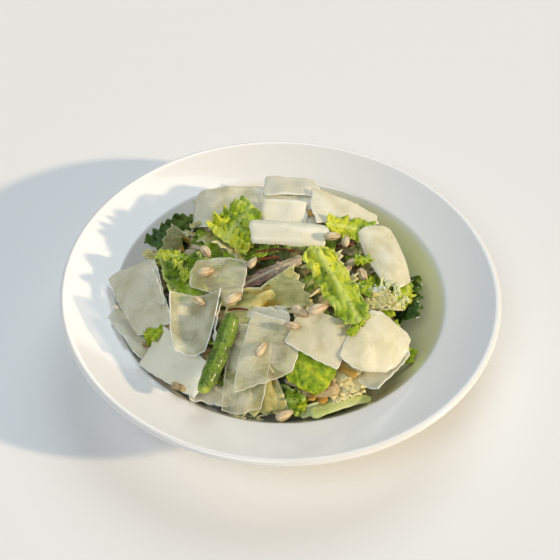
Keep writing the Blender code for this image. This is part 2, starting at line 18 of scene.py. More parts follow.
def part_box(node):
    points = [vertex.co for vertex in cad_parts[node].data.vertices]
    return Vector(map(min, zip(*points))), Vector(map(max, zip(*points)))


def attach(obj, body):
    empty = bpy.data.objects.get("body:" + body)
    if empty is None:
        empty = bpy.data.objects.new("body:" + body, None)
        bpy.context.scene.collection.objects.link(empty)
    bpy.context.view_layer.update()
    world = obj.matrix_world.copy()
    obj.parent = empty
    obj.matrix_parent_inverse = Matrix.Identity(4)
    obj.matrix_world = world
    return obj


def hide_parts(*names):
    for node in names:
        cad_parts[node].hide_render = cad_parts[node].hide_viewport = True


bl_info = {
    "name": "Chicken Pasta Salad",
    "version": (1, 0, 0),
    "blender": (4, 5, 0),
    "location": "View3D > Sidebar > Salad",
    "description": "Dresses the solids of a plated chicken pasta salad",
    "category": "Object",
}

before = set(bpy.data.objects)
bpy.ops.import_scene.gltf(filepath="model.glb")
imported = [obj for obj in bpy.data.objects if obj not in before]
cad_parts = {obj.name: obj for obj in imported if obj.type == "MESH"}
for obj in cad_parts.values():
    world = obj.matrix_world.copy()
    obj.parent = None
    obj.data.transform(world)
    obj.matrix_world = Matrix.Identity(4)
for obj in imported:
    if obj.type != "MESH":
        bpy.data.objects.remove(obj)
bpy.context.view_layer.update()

MM = 0.001

# ---------------------------------------------------------------- the forms that the solids have

SHAVING_THICKNESS = 1.5
LEAF_THICKNESS = 1.3
BOW_THICKNESS = 1.7
CURL_START = 0.45
NUT_LENGTH = 11.0
NUT_WIDTH = 6.2
BEAN_WIDTH = 10.5

# Name: place (x, y), turn (heading, pitch, roll) in degrees, the solid's grid, how much the shaving
# lets through, and the sheet's form
SHAVINGS = {
    "back_left": ((-35, 45), (-2, 8, 0), (10, 4), 0.5,
        dict(length=58, width=38, end_width=36, bend=-30, curl=(-85, 0), cup=-12, rounding=0.25,
             seed=21)),
    "back": ((5, 62), (0, -2, -14), (5, 3), 0.25,
        dict(length=36, width=26, end_width=24, bend=-14, seed=22)),
    "back_right": ((40, 42), (5, -20, 0), (7, 4), 0.35,
        dict(length=46, width=36, end_width=8, bend=-16, cup=-10, rounding=0.15, seed=23)),
    "left": ((-84, -23), (-67, -2, 24), (8, 5), 0.52,
        dict(length=54, width=33, end_width=24, skew=12, bend=-26, cup=-34, rounding=0.15, seed=24)),
    "front_left": ((-58, -70), (-39, 0, 34), (7, 4), 0.05,
        dict(length=44, width=27, end_width=22, bend=-14, cup=-10, rounding=0.2, seed=25)),
    "right": ((65, 8), (-70, -15, -14), (7, 6), 0.4,
        dict(length=45, width=29, end_width=26, skew=4, bend=-20, cup=-75, rounding=0.6, seed=30)),
    "middle_left": ((-37, -21), (-14, 6, 10), (6, 5), 0.85,
        dict(length=34, width=22, end_width=30, skew=-6, bend=-14, cup=-16, seed=43)),
    "front_low": ((-18, -77), (-98, -37, 4), (7, 4), 1.0,
        dict(length=50, width=25, end_width=24, bend=-25, cup=-10, skew=-8, rounding=0.25, seed=26)),
    "front": ((-5, -71), (4, -2, 27), (5, 6), 0.9,
        dict(length=32, width=50, end_width=24, skew=14, bend=-14, cup=-20, rounding=0.25, seed=27)),
    "centre_right": ((24, -62), (-16, -18, 20), (6, 4), 0.6,
        dict(length=35, width=26, end_width=28, skew=10, bend=-14, rounding=0.15, seed=28)),
    "right_front": ((56, -61), (-12, -28, 18), (6, 6), 0.4,
        dict(length=35, width=41, end_width=32, skew=14, bend=-20, cup=-20, rounding=0.6, seed=29)),
    "left_cup": ((-49, -52), (-92, -10, 6), (6, 7), 0.8,
        dict(length=40, width=36, end_width=20, bend=12, cup=115, rounding=0.15, seed=44)),
    "top_back": ((1, 34), (0, 0, 24), (5, 3), 0.1,
        dict(length=28, width=17, end_width=15, bend=-10, rounding=0.15, seed=45)),
    "top_roll": ((4, 9), (-2, -2, 8), (7, 7), 0.15,
        dict(length=47, width=22, end_width=19, bend=-12, cup=-110, rounding=0.25, seed=46)),
}

# The same, with the finish in place of what is let through, and then what only the fine leaf has
LEAVES = {
    "lettuce_rib_front": ((31.3, -82), (24, 2, 50), (7, 2), "rib",
        dict(length=42, width=8, end_width=5, bend=-34, cup=35, seed=3),
        dict(ragged=0.2, wavy=0.3)),
    "lettuce_tip_right": ((69.2, -47.8), (8, -20, 30), (5, 3), "bright",
        dict(length=28, width=18, end_width=9, skew=20, bend=-20, ruffle=0.8, seed=5),
        dict(ragged=0.5, frill=0.5, puff=0.5)),
    "dark_leaf_right": ((80, -5), (82, 4, -46), (7, 4), "dark",
        dict(length=34, width=20, end_width=14, cup=-30, ruffle=1.6, waves=4, seed=6),
        dict(ragged=0.7, frill=1.2, puff=0.8, vein_spacing=5)),
    "dark_leaf_front": ((4, -84), (-10, 4, 42), (6, 4), "green",
        dict(length=23, width=18, end_width=14, cup=-25, ruffle=1.4, seed=7),
        dict(ragged=0.6, frill=0.6, puff=0.5)),
    "dark_leaf_back_left": ((-70, 36), (58, 4, 8), (8, 4), "dark",
        dict(length=34, width=24, end_width=16, cup=-30, ruffle=2.6, waves=5, seed=8),
        dict(ragged=0.8, frill=1.6, puff=1.0, vein_spacing=5)),
    "lettuce_front": ((17, -76), (-36, -16, 26), (6, 5), "bright",
        dict(length=28, width=24, end_width=22, bend=-25, cup=-20, ruffle=1.2, rib=1.2, seed=11),
        dict(ragged=0.6, frill=0.5, puff=0.6, vein_spacing=7)),
    "lettuce_left": ((-57, -11), (-75, -3, 18), (8, 6), "green",
        dict(length=36, width=28, end_width=24, bend=-20, cup=65, ruffle=2.8, rib=1.0, seed=12),
        dict(ragged=0.6, frill=1.0, puff=0.6, vein_spacing=8)),
    "lettuce_right": ((54, -20), (-60, -14, -8), (6, 4), "bright",
        dict(length=34, width=24, end_width=18, bend=-20, ruffle=1.0, seed=13),
        dict(ragged=0.6, frill=0.6, puff=0.5, vein_spacing=8)),
    "lettuce_back_right": ((43, 25), (6, -18, 18), (7, 4), "yellow",
        dict(length=34, width=15, end_width=17, cup=-20, ruffle=1.8, seed=14),
        dict(ragged=0.5, frill=0.9, wavy=0.5, puff=0.7, vein_spacing=6)),
    "radicchio_centre": ((-6, -12), (32, 4, 12), (8, 2), "purple",
        dict(length=44, width=9, end_width=7, bend=-16, cup=-30, ruffle=0.6, waves=3, rib=1.2, seed=31),
        dict(ragged=0.3, frill=0.2, puff=0.25, vein_spacing=30)),
    "lettuce_back": ((-27, 22), (60, 10, 2), (9, 6), "yellow",
        dict(length=33, width=37, end_width=20, skew=12, bend=-14, cup=-20, ruffle=3.0, waves=4,
             rib=1.0, seed=41),
        dict(ragged=0.5, frill=0.9, wavy=0.9, puff=1.0, vein_spacing=9)),
    "lettuce_centre": ((32, -34), (-58, -18, 2), (10, 5), "yellow",
        dict(length=54, width=22, end_width=20, skew=6, bend=-20, cup=-50, ruffle=1.8, waves=4,
             rib=2.2, seed=42),
        dict(ragged=0.4, frill=0.8, wavy=0.5, puff=0.8, vein_spacing=8)),
}

# The same, with the bow's painted shade above 0, which darkens it, and its painted light below 0, which pales
# it
BOWS = {
    "right": ((41, -66), (33, 0, 32), (8, 8), -1.2, dict(length=38)),
    "front": ((-8, -77.2), (-84, -46, 0), (5, 8), 0.35, dict(first=0.1)),
    "left": ((-60, -45), (172, -30, 6), (4, 8), 0.15, dict(length=32, width=22, first=0)),
    "back_left": ((-61, 18), (160, -14, -10), (4, 8), 0.85, dict(length=28, first=0)),
    "back_right": ((52, -29), (24, -20, 0), (4, 8), 0, dict(length=34, width=22, first=0)),
    "centre": ((-9, -32), (23, 6, 12), (8, 8), 0, dict(length=48, width=31, fold=-0.1)),
}

NUTS = [
    # x, y, heading, length
    (30, 4, 5, 10.5), (39, 13, 80, 10.0), (44, 7, 35, 11.0), (40, -3, 60, 10.5), (49, -8, -70, 11.5),
    (-17, -13, 60, 9.5), (-45, -5, -60, 10.5), (-44, -21, 15, 11.0), (-27, -40, 40, 13.0),
    (-47, -40, -35, 10.0), (11, -53, -35, 12.0), (7, -61, -10, 9.5), (21, -53, 25, 12.5),
    (-10, -73, 60, 11.0), (4, -94, 30, 11.5),
]

BEAN = ((-34, -75), (-110, -22, 0), 48)

CHICKEN = {
    # Name: place, turn, and length, width, height and seed
    "chicken_front": ((24, -82), (8, 0, 20), (20, 9, 7, 1)),
    "chicken_left": ((-77, 14), (-43, 8, 10), (18, 8, 6, 2)),
}

FINE_SHAVING = (72, 50)
FINE_LEAF = (84, 60)
FINE_BOW = (60, 96)


# ---------------------------------------------------------------- fields

def ripple(points, size, seed, waves=14):
    """A smooth uneven field, about -1 to 1: plane waves of about the given length in mixed directions."""
    rng = np.random.default_rng(seed)
    points = np.asarray(points, float)
    aim = rng.normal(size=(waves, points.shape[-1]))
    aim /= np.linalg.norm(aim, axis=1, keepdims=True) * size * rng.uniform(0.7, 1.5, (waves, 1))
    turn = rng.uniform(0, 2 * math.pi, waves)
    return np.sin(points @ aim.T * 2 * math.pi + turn).sum(axis=-1) / math.sqrt(waves)


def unit(vectors):
    return vectors / np.maximum(np.linalg.norm(vectors, axis=-1, keepdims=True), 1e-9)


def spaced(first, last, steps, crowd):
    """Places from first to last that lie closer together towards both ends as crowd goes to 1."""
    even = np.linspace(-1, 1, steps + 1)
    place = (1 - crowd) * even + crowd * np.sin(even * math.pi / 2)
    return first + (last - first) * (place + 1) / 2


# ---------------------------------------------------------------- shapes

class Shape:
    """Points in millimetres, faces as arrays of corners, and marks: one number a point."""

    def __init__(self, points, faces, **marks):
        self.points = np.asarray(points, float)
        self.faces = [np.asarray(group, int) for group in faces]
        self.marks = {name: np.asarray(values, float).ravel() for name, values in marks.items()}

    def posed(self, at=(0, 0, 0), turn=(0, 0, 0)):
        """Turned by heading, pitch and roll, then moved."""
        heading, pitch, roll = turn
        matrix = (Matrix.Rotation(math.radians(heading), 3, "Z")
                  @ Matrix.Rotation(math.radians(-pitch), 3, "Y")
                  @ Matrix.Rotation(math.radians(roll), 3, "X"))
        return self.moved(matrix, at)

    def moved(self, matrix, shift):
        points = self.points @ np.array(matrix).T + np.asarray(shift, float)
        return Shape(points, self.faces, **self.marks)

    def paint(self, mark, value):
        """Give every point the same number."""
        self.marks[mark] = np.full(len(self.points), value, float)

    def middle(self):
        return (self.points.min(axis=0) + self.points.max(axis=0)) / 2

    def corner_lists(self):
        return [corners for group in self.faces for corners in group.tolist()]


def joined(shapes):
    """Several shapes as one."""
    starts = np.cumsum([0] + [len(shape.points) for shape in shapes])
    faces = [group + start for shape, start in zip(shapes, starts) for group in shape.faces]
    marks = {name: np.concatenate([shape.marks[name] for shape in shapes]) for name in shapes[0].marks}
    return Shape(np.concatenate([shape.points for shape in shapes]), faces, **marks)


def grid_corners(rows, columns, start=0):
    """The quads of a grid of points, row by row."""
    number = start + np.arange(rows * columns).reshape(rows, columns)
    return np.stack([number[:-1, :-1], number[1:, :-1], number[1:, 1:], number[:-1, 1:]],
                    axis=-1).reshape(-1, 4)


def capped(rings, top, bottom):
    """Close profiles that stand round Z, one for each turn: walls between them, and a fan at each end."""
    segments, count = rings.shape[:2]
    this = (np.arange(segments) * count)[:, None]
    after = np.roll(this, -1, axis=0)
    corner, end, pole = np.arange(count - 1), count - 1, segments * count
    walls = np.stack([this + corner, this + corner + 1, after + corner + 1, after + corner],
                     axis=-1).reshape(-1, 4)
    first = np.stack([np.full(segments, pole), this[:, 0], after[:, 0]], axis=-1)
    last = np.stack([np.full(segments, pole + 1), after[:, 0] + end, this[:, 0] + end], axis=-1)
    return Shape(np.concatenate([rings.reshape(-1, 3), [(0, 0, top), (0, 0, bottom)]]),
                 [walls, np.concatenate([first, last])])


def slab(middle, half_thickness, **marks):
    """Close a grid of points into a slab: the grid shifted both ways along its normals, and a rim."""
    along, across = np.gradient(middle, axis=0), np.gradient(middle, axis=1)
    shift = unit(np.cross(along, across)) * np.asarray(half_thickness)[..., None]
    rows, columns = middle.shape[:2]
    points = np.concatenate([(middle + shift).reshape(-1, 3), (middle - shift).reshape(-1, 3)])
    under = rows * columns
    number = np.arange(under).reshape(rows, columns)
    rim = np.concatenate([number[:, 0], number[-1, 1:], number[-2::-1, -1], number[0, -2:0:-1]])
    after = np.roll(rim, -1)
    walls = np.stack([under + rim, under + after, after, rim], axis=-1)
    faces = [grid_corners(rows, columns), grid_corners(rows, columns, under)[:, ::-1], walls]
    return Shape(points, faces, **{name: np.tile(np.ravel(mark), 2) for name, mark in marks.items()})


def rolled(along, half, bend, curl):
    """Carry distances along a flat strip onto the strip bent in its own plane.

    The slope grows evenly by bend degrees in all, and curl adds a turn to the
    first and the last stretch. Returns the distance, the height and the slope.
    """
    step = np.linspace(-1.3, 1.3, 105)
    outer = np.clip((np.abs(step) - CURL_START) / (1 - CURL_START), 0, 1)
    ends = np.where(step < 0, -curl[0], curl[1])
    lean = np.radians(bend * step / 2 + ends * outer ** 1.5)
    width = (step[1] - step[0]) * half
    across, height = np.cumsum(np.cos(lean)) * width, np.cumsum(np.sin(lean)) * width
    middle = len(step) // 2
    along = along / half
    return (np.interp(along, step, across - across[middle]),
            np.interp(along, step, height - height[middle]),
            np.interp(along, step, lean))


def arched(across, half, cup):
    """Carry distances across a flat strip onto an arc of cup degrees in all."""
    if abs(cup) < 1:
        return across, np.zeros_like(across)
    radius = 2 * half / math.radians(cup)
    return radius * np.sin(across / radius), radius * (1 - np.cos(across / radius))


def leaf_veins(u, v, length, width, spacing, seed):
    """A midrib at v = 0 and side veins that leave it forwards: 1 on a vein, 0 between, and the phase."""
    across = np.abs(v) * width / 2
    forward = (u + 1) * length / 2 - 0.8 * across
    phase = forward / spacing + 0.35 * ripple(np.stack([u, v], axis=-1), 0.9, seed)
    side = np.exp(-(np.sin(math.pi * phase) / 0.22) ** 2)
    midrib = np.exp(-(across / (0.05 * width + 0.6)) ** 2)
    return np.maximum(midrib, side * (0.35 + 0.65 * np.abs(v))), phase


def sheet(length, width, end_width=None, skew=0, bend=0, cup=0, curl=(0, 0), ruffle=0, waves=3,
          rounding=0.4, uneven=0.03, thickness=SHAVING_THICKNESS, rib=0, grid=(8, 5), seed=0,
          fine=False, ragged=0, wavy=0, frill=0, puff=0, vein_spacing=5, thin_edge=1):
    """A thin bent slab: u runs along its length and v across it, from -1 to 1.

    rounding draws the corners in, uneven waves the outline, skew slants it,
    bend and curl bend it along its length, cup across it, and ruffle waves its
    long edges. rib thickens it along its middle, most at its first end.
    What only the fine piece has is in millimetres: a ragged outline, a wavy
    middle, a frill on the edges, and the puff of the leaf between its veins.
    """
    end_width = width if end_width is None else end_width
    crowd = 0.5 if fine else 0
    u, v = np.meshgrid(spaced(-1, 1, grid[0], crowd), spaced(-1, 1, grid[1], crowd), indexing="ij")
    phase = np.random.default_rng(seed).uniform(0, 2 * math.pi, 4)
    turn = np.arctan2(v, u)
    outline = 1 + uneven * (np.sin(3 * turn + phase[0]) + 0.6 * np.sin(5 * turn + phase[1]))
    half_width = ((1 - u) * width + (1 + u) * end_width) / 4
    across = v * np.sqrt(1 - rounding * u ** 2 / 2) * outline * half_width
    along = u * np.sqrt(1 - rounding * v ** 2 / 2) * outline * length / 2
    along = along + math.tan(math.radians(skew)) * across
    round_edge = np.maximum(np.abs(u), np.abs(v)) ** 4
    if ragged:
        place = np.stack([along, across], axis=-1)
        along = along + ragged * round_edge * ripple(place, 6, seed + 1)
        across = across + ragged * round_edge * ripple(place, 6, seed + 2)
    x, z, lean = rolled(along, length / 2, bend, curl)
    y, rise = arched(across, max(width, end_width) / 2, cup)
    wave = np.sin(waves * math.pi * u + phase[2]) + 0.5 * np.sin(1.7 * waves * math.pi * u + phase[3])
    rise = rise + ruffle * np.abs(v) ** 1.5 * wave * np.sign(v + 0.3)
    base = rise
    flat = np.stack([along, across], axis=-1)
    vein = np.zeros_like(u)
    if wavy:
        rise = rise + wavy * ripple(flat, 22, seed + 3)
    if frill:
        rise = rise + frill * np.abs(v) ** 3 * np.sin(along * 1.1 + 2 * np.sin(along * 0.31 + phase[0]))
    if puff:
        vein, between = leaf_veins(u, v, length, max(width, end_width), vein_spacing, seed)
        rise = rise + puff * (np.abs(np.sin(math.pi * between)) - 0.6) * np.abs(v) ** 0.5
        rise = rise + puff * (0.45 * ripple(flat, 8, seed + 4) + 0.3 * ripple(flat, 3.2, seed + 5))
    # The relief mark: how far puff and frill lift a point; leaf finishes paint shade where it is low and
    # light where it is high
    relief = 0.5 + (rise - base) / (2.2 * max(puff, frill, 0.4))
    middle = np.stack([x - np.sin(lean) * rise, y, z + np.cos(lean) * rise], axis=-1)
    half_thickness = thickness / 2 + rib / 2 * np.exp(-(v / 0.25) ** 2) * (1.2 - u) / 2.2
    edge = np.maximum(np.abs(u), np.abs(v))
    inward = np.minimum((1 - np.abs(u)) * length, (1 - np.abs(v)) * width) / 2
    if fine:
        taper = np.sqrt(np.clip(inward / (1.5 * thickness), 0, 1))
        half_thickness = half_thickness * (thin_edge + (1 - thin_edge) * taper)
    rim = np.exp(-inward / 0.5)
    return slab(middle, half_thickness, rim=rim, edge=edge, vein=vein, along=u, across=v,
                relief=np.clip(relief, 0, 1))


def zigzag(turns):
    """A wave of straight flanks between -1 and 1 where the cosine has its peaks."""
    return 2 / math.pi * np.arcsin(np.cos(turns))


def bow(length=42.0, width=27.0, first=-1.0, last=1.0, fold=0.0, grid=(10, 8), fine=False):
    """A pasta bow from first to last along its length, pinched at 0.

    Across, its height is a wave of three pleats that fades towards the ends,
    and the ends are cut in teeth.
    """
    crowd = 0.3 if fine else 0
    u, v = np.meshgrid(spaced(first, last, grid[0], crowd), spaced(-1, 1, grid[1], 0), indexing="ij")
    waist = 0.42 + (1 - 0.42) * np.abs(u) ** 0.8
    turns = 8 * math.pi * (v + 1) / 2
    tooth = 1.3 * (zigzag(turns) if fine else np.cos(turns)) * np.abs(u) ** 4
    x = u * length / 2 + np.sign(u) * tooth
    y = v * waist * width / 2
    pinch = np.exp(-(u / 0.45) ** 2)
    pleat = 4.2 * np.cos(1.5 * math.pi * v) * pinch
    z = pleat + fold * np.abs(u) * length / 2 + 1.2 * np.sin(2.5 * v + 3 * u) * np.abs(u)
    inward = np.minimum((1 - np.abs(v)) * width / 2, (last - np.abs(u)) * length / 2)
    half = BOW_THICKNESS / 2 * np.ones_like(u)
    if fine:
        z = z + 0.35 * ripple(np.stack([x, y], axis=-1), 9, int(length))
        ridge = np.cos(5 * math.pi * v + 1.5 * u) * np.exp(-(u / 0.8) ** 2)
        z = z + 0.45 * ridge
        half = half * (0.55 + 0.45 * np.sqrt(np.clip(inward / 1.6, 0, 1)))
    # The fold mark: the pleats' valleys at the pinch and the ridges' troughs, coloured amber partly as
    # painted shade
    valley = np.clip(0.5 - 0.5 * np.cos(1.5 * math.pi * v), 0, 1) * pinch
    if fine:
        valley = np.maximum(valley, 0.45 * np.clip(-ridge, 0, 1))
    return slab(np.stack([x, y, z], axis=-1), half,
                rim=np.exp(-np.maximum(inward, 0) / 0.7), edge=np.abs(u), vein=valley, along=u, across=v)


def spindle(length, radii, bend=0.0, sides=8, flatten=1.0, swell=None):
    """A solid of round sections along X with the given radii, closed by a point at each end.

    The sections lie at cosine steps, so they are closer together at the ends.
    swell multiplies the radius at a place along and a turn round.
    """
    rings = len(radii)
    place = -0.5 * np.cos(np.linspace(0, math.pi, rings + 2))
    middle = np.stack([place * length, np.zeros(rings + 2), bend * (4 * place ** 2 - 1)], axis=-1)
    turn = np.arange(sides) * 2 * math.pi / sides
    radius = np.asarray(radii, float)[:, None] * np.ones(sides)
    if swell is not None:
        radius = radius * swell(place[1:-1, None], turn[None, :])
    circle = np.stack([np.zeros_like(radius), np.cos(turn) * radius, np.sin(turn) * radius * flatten],
                      axis=-1)
    body = (middle[1:-1, None, :] + circle).reshape(-1, 3)
    points = np.concatenate([middle[:1], body, middle[-1:]])
    side = np.arange(sides)
    after = (side + 1) % sides
    ring = (1 + np.arange(rings - 1) * sides)[:, None]
    walls = np.stack([ring + side, ring + after, ring + after + sides, ring + side + sides],
                     axis=-1).reshape(-1, 4)
    last = 1 + (rings - 1) * sides
    caps = np.concatenate([np.stack([np.zeros(sides, int), 1 + after, 1 + side], axis=-1),
                           np.stack([last + side, last + after,
                                     np.full(sides, len(points) - 1)], axis=-1)])
    along = np.concatenate([[-1], np.repeat(place[1:-1] * 2, sides), [1]])
    round_ = np.concatenate([[0], np.tile(turn / math.pi - 1, rings), [0]])
    return Shape(points, [walls, caps], along=along, across=round_)


def pine_nut(length, steps=0):
    """A seed that is widest before its middle and pointed at the far end."""
    width = NUT_WIDTH * length / NUT_LENGTH
    if not steps:
        return spindle(length, [0.36 * width, 0.5 * width, 0.42 * width, 0.24 * width], sides=6)
    place = -np.cos(np.linspace(0, math.pi, steps + 2)[1:-1])
    radii = 0.44 * width * np.sqrt(1 - place ** 2) ** 1.1 * (1 - 0.26 * place)
    return spindle(length, radii, sides=24, swell=lambda place, turn: 1 + 0.05 * np.cos(3 * turn))


def green_bean(length, steps=0):
    """A bean pod with low swellings over its seeds and a groove along its seam."""
    radii = [part * BEAN_WIDTH for part in (0.36, 0.46, 0.49, 0.46, 0.5, 0.46, 0.42, 0.26)]
    if not steps:
        return spindle(length, radii, bend=3.5, sides=8)
    known = np.linspace(0, math.pi, len(radii) + 2)
    wanted = np.linspace(0, math.pi, steps + 2)[1:-1]
    fine = np.interp(wanted, known[1:-1], radii)
    fine = fine * np.clip(np.sin(wanted) / 0.3, 0, 1) ** 0.5
    shape = spindle(length, fine, bend=3.5, sides=56, swell=lambda place, turn:
                    1 + 0.02 * np.sin(place * 36) - 0.06 * np.exp(-((turn - 1.9) / 0.16) ** 2))
    lump = 0.05 * ripple(shape.points, 8, 3) + 0.02 * ripple(shape.points, 3, 4)
    shape.points[:, 1:] *= 1 + lump[:, None]
    return shape


def torn_chicken(length, width, height, seed, steps=0):
    """A torn strip of chicken: a spindle with fibres along it and uneven ends."""
    if not steps:
        shape = spindle(length, [0.36 * width, 0.5 * width, 0.47 * width, 0.38 * width],
                        sides=7, flatten=height / width)
        shove = np.random.default_rng(seed).uniform(-0.09, 0.09, shape.points.shape) * width
        return Shape(shape.points + shove, shape.faces, **shape.marks)
    place = -np.cos(np.linspace(0, math.pi, steps + 2)[1:-1])
    radii = 0.5 * width * (1 - np.abs(place) ** 5) ** 0.5
    shape = spindle(length, radii, sides=44, flatten=height / width)
    fibre = np.sin(math.pi * shape.marks["across"] * 11 + 1.5 * ripple(shape.points, 9, seed))
    lump = ripple(shape.points, 7, seed + 1)
    middle = shape.points * [1, 0, 0]
    points = middle + (shape.points - middle) * (1 + 0.07 * fibre + 0.12 * lump)[:, None]
    points[:, 0] += 0.9 * np.sin(9 * shape.marks["across"] + seed) * np.abs(shape.marks["along"]) ** 3
    shape.marks["vein"] = fibre
    return Shape(points, shape.faces, **shape.marks)


# ---------------------------------------------------------------- meshes and what lies where

def put(name, shape, material, slot, *nodes, sharp=None):
    """Make a shape a piece that rides on the one body and stands for the given nodes."""
    mesh = bpy.data.meshes.new(name)
    mesh.from_pydata((shape.points * MM).tolist(), [], shape.corner_lists())
    mesh.shade_smooth()
    if sharp:
        mesh.set_sharp_from_angle(angle=math.radians(sharp))
    for mark, values in shape.marks.items():
        layer = mesh.attributes.new(mark, "FLOAT", "POINT")
        layer.data.foreach_set("value", np.ascontiguousarray(values, np.float32))
    mesh.materials.append(material)
    piece = bpy.data.objects.new(name, mesh)
    bpy.context.scene.collection.objects.link(piece)
    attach(piece, "root")
    if nodes:
        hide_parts(*nodes)
    return piece


def fitted(node, coarse, fine, at, turn):
    """Lay the fine shape where the solid lies: both are turned alike, and the solid's box gives the place."""
    low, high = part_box(node)
    solid = coarse.posed((*at, 0), turn)
    shift = np.array((low + high) / 2) / MM - solid.middle()
    return fine.posed(np.array([*at, 0]) + shift, turn)


def solids_but(*left_out):
    """The solids but some, in millimetres, as one tree for tests."""
    points, faces = [], []
    for name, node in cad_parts.items():
        if name in left_out:
            continue
        start = len(points)
        points += [tuple(corner.co / MM) for corner in node.data.vertices]
        faces += [tuple(start + corner for corner in face.vertices) for face in node.data.polygons]
    return BVHTree.FromPolygons(points, faces)


# ---------------------------------------------------------------- shader sums

class Value:
    """A socket that takes part in Python sums: each operator adds a Math node to the tree."""

    def __init__(self, kit, socket):
        self.kit = kit
        self.socket = socket

    def math(self, operation, *others):
        return self.kit.node("ShaderNodeMath", {"operation": operation},
                             dict(enumerate([self, *others])))

    def __add__(self, other):
        return self.math("ADD", other)

    __radd__ = __add__

    def __mul__(self, other):
        return self.math("MULTIPLY", other)

    __rmul__ = __mul__

    def __sub__(self, other):
        return self.math("SUBTRACT", other)

    def __rsub__(self, other):
        return (self * -1.0) + other

    def __pow__(self, other):
        return self.math("POWER", other)

    def sine(self):
        return self.math("SINE")

    def between(self, low, high):
        """0 up to low, 1 from high on, and a smooth step from one to the other."""
        return self.kit.node("ShaderNodeMapRange", {"interpolation_type": "SMOOTHSTEP"},
                             {"Value": self, "From Min": low, "From Max": high})


class Finish:
    """One material: a Principled shader, and nodes that lead to it."""

    def __init__(self, name, **constants):
        self.material = bpy.data.materials.new(name)
        self.material.use_nodes = True
        self.tree = self.material.node_tree
        self.shader = self.tree.nodes["Principled BSDF"]
        for socket, value in constants.items():
            self.shader.inputs[socket.replace("_", " ")].default_value = value

    def node(self, kind, settings=None, inputs=None, output=0):
        """Add a node: its settings first, then values or links for its sockets."""
        made = self.tree.nodes.new(kind)
        for setting, value in (settings or {}).items():
            setattr(made, setting, value)
        for socket, value in (inputs or {}).items():
            if isinstance(value, Value):
                self.tree.links.new(value.socket, made.inputs[socket])
            else:
                made.inputs[socket].default_value = value
        return Value(self, made.outputs[output])

    def place(self):
        return self.node("ShaderNodeTexCoord", output="Object")

    def axis(self, name):
        return self.node("ShaderNodeSeparateXYZ", inputs={"Vector": self.place()}, output=name)

    def mark(self, name):
        return self.node("ShaderNodeAttribute", {"attribute_name": name}, output="Fac")

    def noise(self, size, detail=2.0, roughness=0.5, vector=None, warp=0.0):
        """Noise whose grains are about size millimetres wide, from 0 to 1."""
        return self.node("ShaderNodeTexNoise", {},
                         {"Vector": vector or self.place(), "Scale": 1 / (size * MM), "Detail": detail,
                          "Roughness": roughness, "Distortion": warp})

    def flecks(self, size, cover):
        """1 inside irregular flecks of about size millimetres that come in clusters."""
        cluster = self.noise(size * 9, detail=1.0).between(0.42, 0.66)
        edge = 0.80 - 0.2 * cover
        return (self.noise(size * 1.6, detail=3.0, roughness=0.7) + cluster * 0.1).between(edge, edge + 0.03)

    def blend(self, share, first, second):
        """The first colour where share is 0 and the second where it is 1."""
        inputs = {0: share}
        for socket, colour in ((6, first), (7, second)):
            inputs[socket] = colour if isinstance(colour, Value) else (*colour, 1.0)
        return self.node("ShaderNodeMix", {"data_type": "RGBA"}, inputs, output=2)

    def feed(self, socket, value):
        self.tree.links.new(value.socket, self.shader.inputs[socket])

    def done(self, colour, roughness, height, depth):
        """Feed the colour and the roughness, raise the surface by depth millimetres where height is 1."""
        self.feed("Base Color", colour)
        self.feed("Roughness", roughness)
        self.feed("Normal", self.node("ShaderNodeBump", {}, {"Strength": 1.0, "Distance": depth * MM,
                                                             "Height": height}))
        return self.material


# ---------------------------------------------------------------- finishes

def porcelain_finish(look):
    """Cream glaze with painted bounce light on the right of the well, and bare clay under the foot.
    The green-yellow tint stands in for the salad's light on the shaded right wall.
    """
    kit = Finish("cream glaze", Coat_Weight=0.6, Coat_Roughness=0.06, Specular_IOR_Level=0.45)
    across, away, height = kit.axis("X"), kit.axis("Y"), kit.axis("Z")
    reach = (across * across + away * away) ** 0.5
    uneven = kit.noise(26, detail=3.0)
    # Painted bounce light: a green-yellow tint on the well's right side, inside its edge
    side = (across * 0.9 - away * 0.1 + (uneven - 0.5) * 0.05).between(-0.01, 0.055)
    bounce_tint = side * (1 - reach.between(0.0985, 0.1035)) * look.dressing_share
    colour = kit.blend(kit.noise(60) * 0.5, look.glaze, look.glaze_shade)
    colour = kit.blend(bounce_tint, colour, look.dressing)
    unglazed = 1 - height.between(0.0004, 0.0009)
    return kit.done(kit.blend(unglazed, colour, look.clay), unglazed * 0.6 + 0.16 + 0.05 * kit.noise(9),
                    kit.noise(30, detail=1.0), 0.25)


def cheese_finish(look):
    """Hard cheese cut thin: milky, see-through in patches, with fine cutting lines and bright thin edges."""
    kit = Finish("shaved hard cheese", Subsurface_Weight=0.3, Subsurface_Scale=0.002,
                 Subsurface_Radius=(1.0, 0.9, 0.7), Coat_Weight=0.45, Coat_Roughness=0.22)
    rim, clear = kit.mark("rim").between(0.2, 0.85), kit.mark("clear")
    patch = kit.noise(13, detail=2.0, warp=0.5).between(0.32, 0.70)
    grain = kit.noise(1.8, detail=4.0, roughness=0.65)
    lines = (kit.mark("across") * 40.0 + kit.noise(14) * 6.0).sine() * 0.5 + 0.5
    colour = kit.blend(clear * (patch * 0.6 + 0.28), look.cheese, look.oiled)
    colour = kit.blend(kit.noise(26).between(0.56, 0.70) * (clear * 0.6 + 0.1), colour, look.yellowed)
    colour = kit.blend(grain.between(0.5, 0.8) * 0.2 + lines * 0.05, colour, look.edge)
    colour = kit.blend(kit.flecks(1.1, 0.4) * 0.5, colour, look.herb)
    colour = kit.blend(rim, colour, look.edge)
    let_through = clear * (0.6 + patch * 0.26 - lines * 0.03 - grain.between(0.45, 0.8) * 0.15)
    kit.feed("Alpha", 1 - let_through * (1 - rim * 0.9))
    return kit.done(colour, 0.36 + grain * 0.2 - patch * 0.08,
                    grain * 0.2 + kit.noise(5, detail=2.0) + lines * 0.03, 0.15)


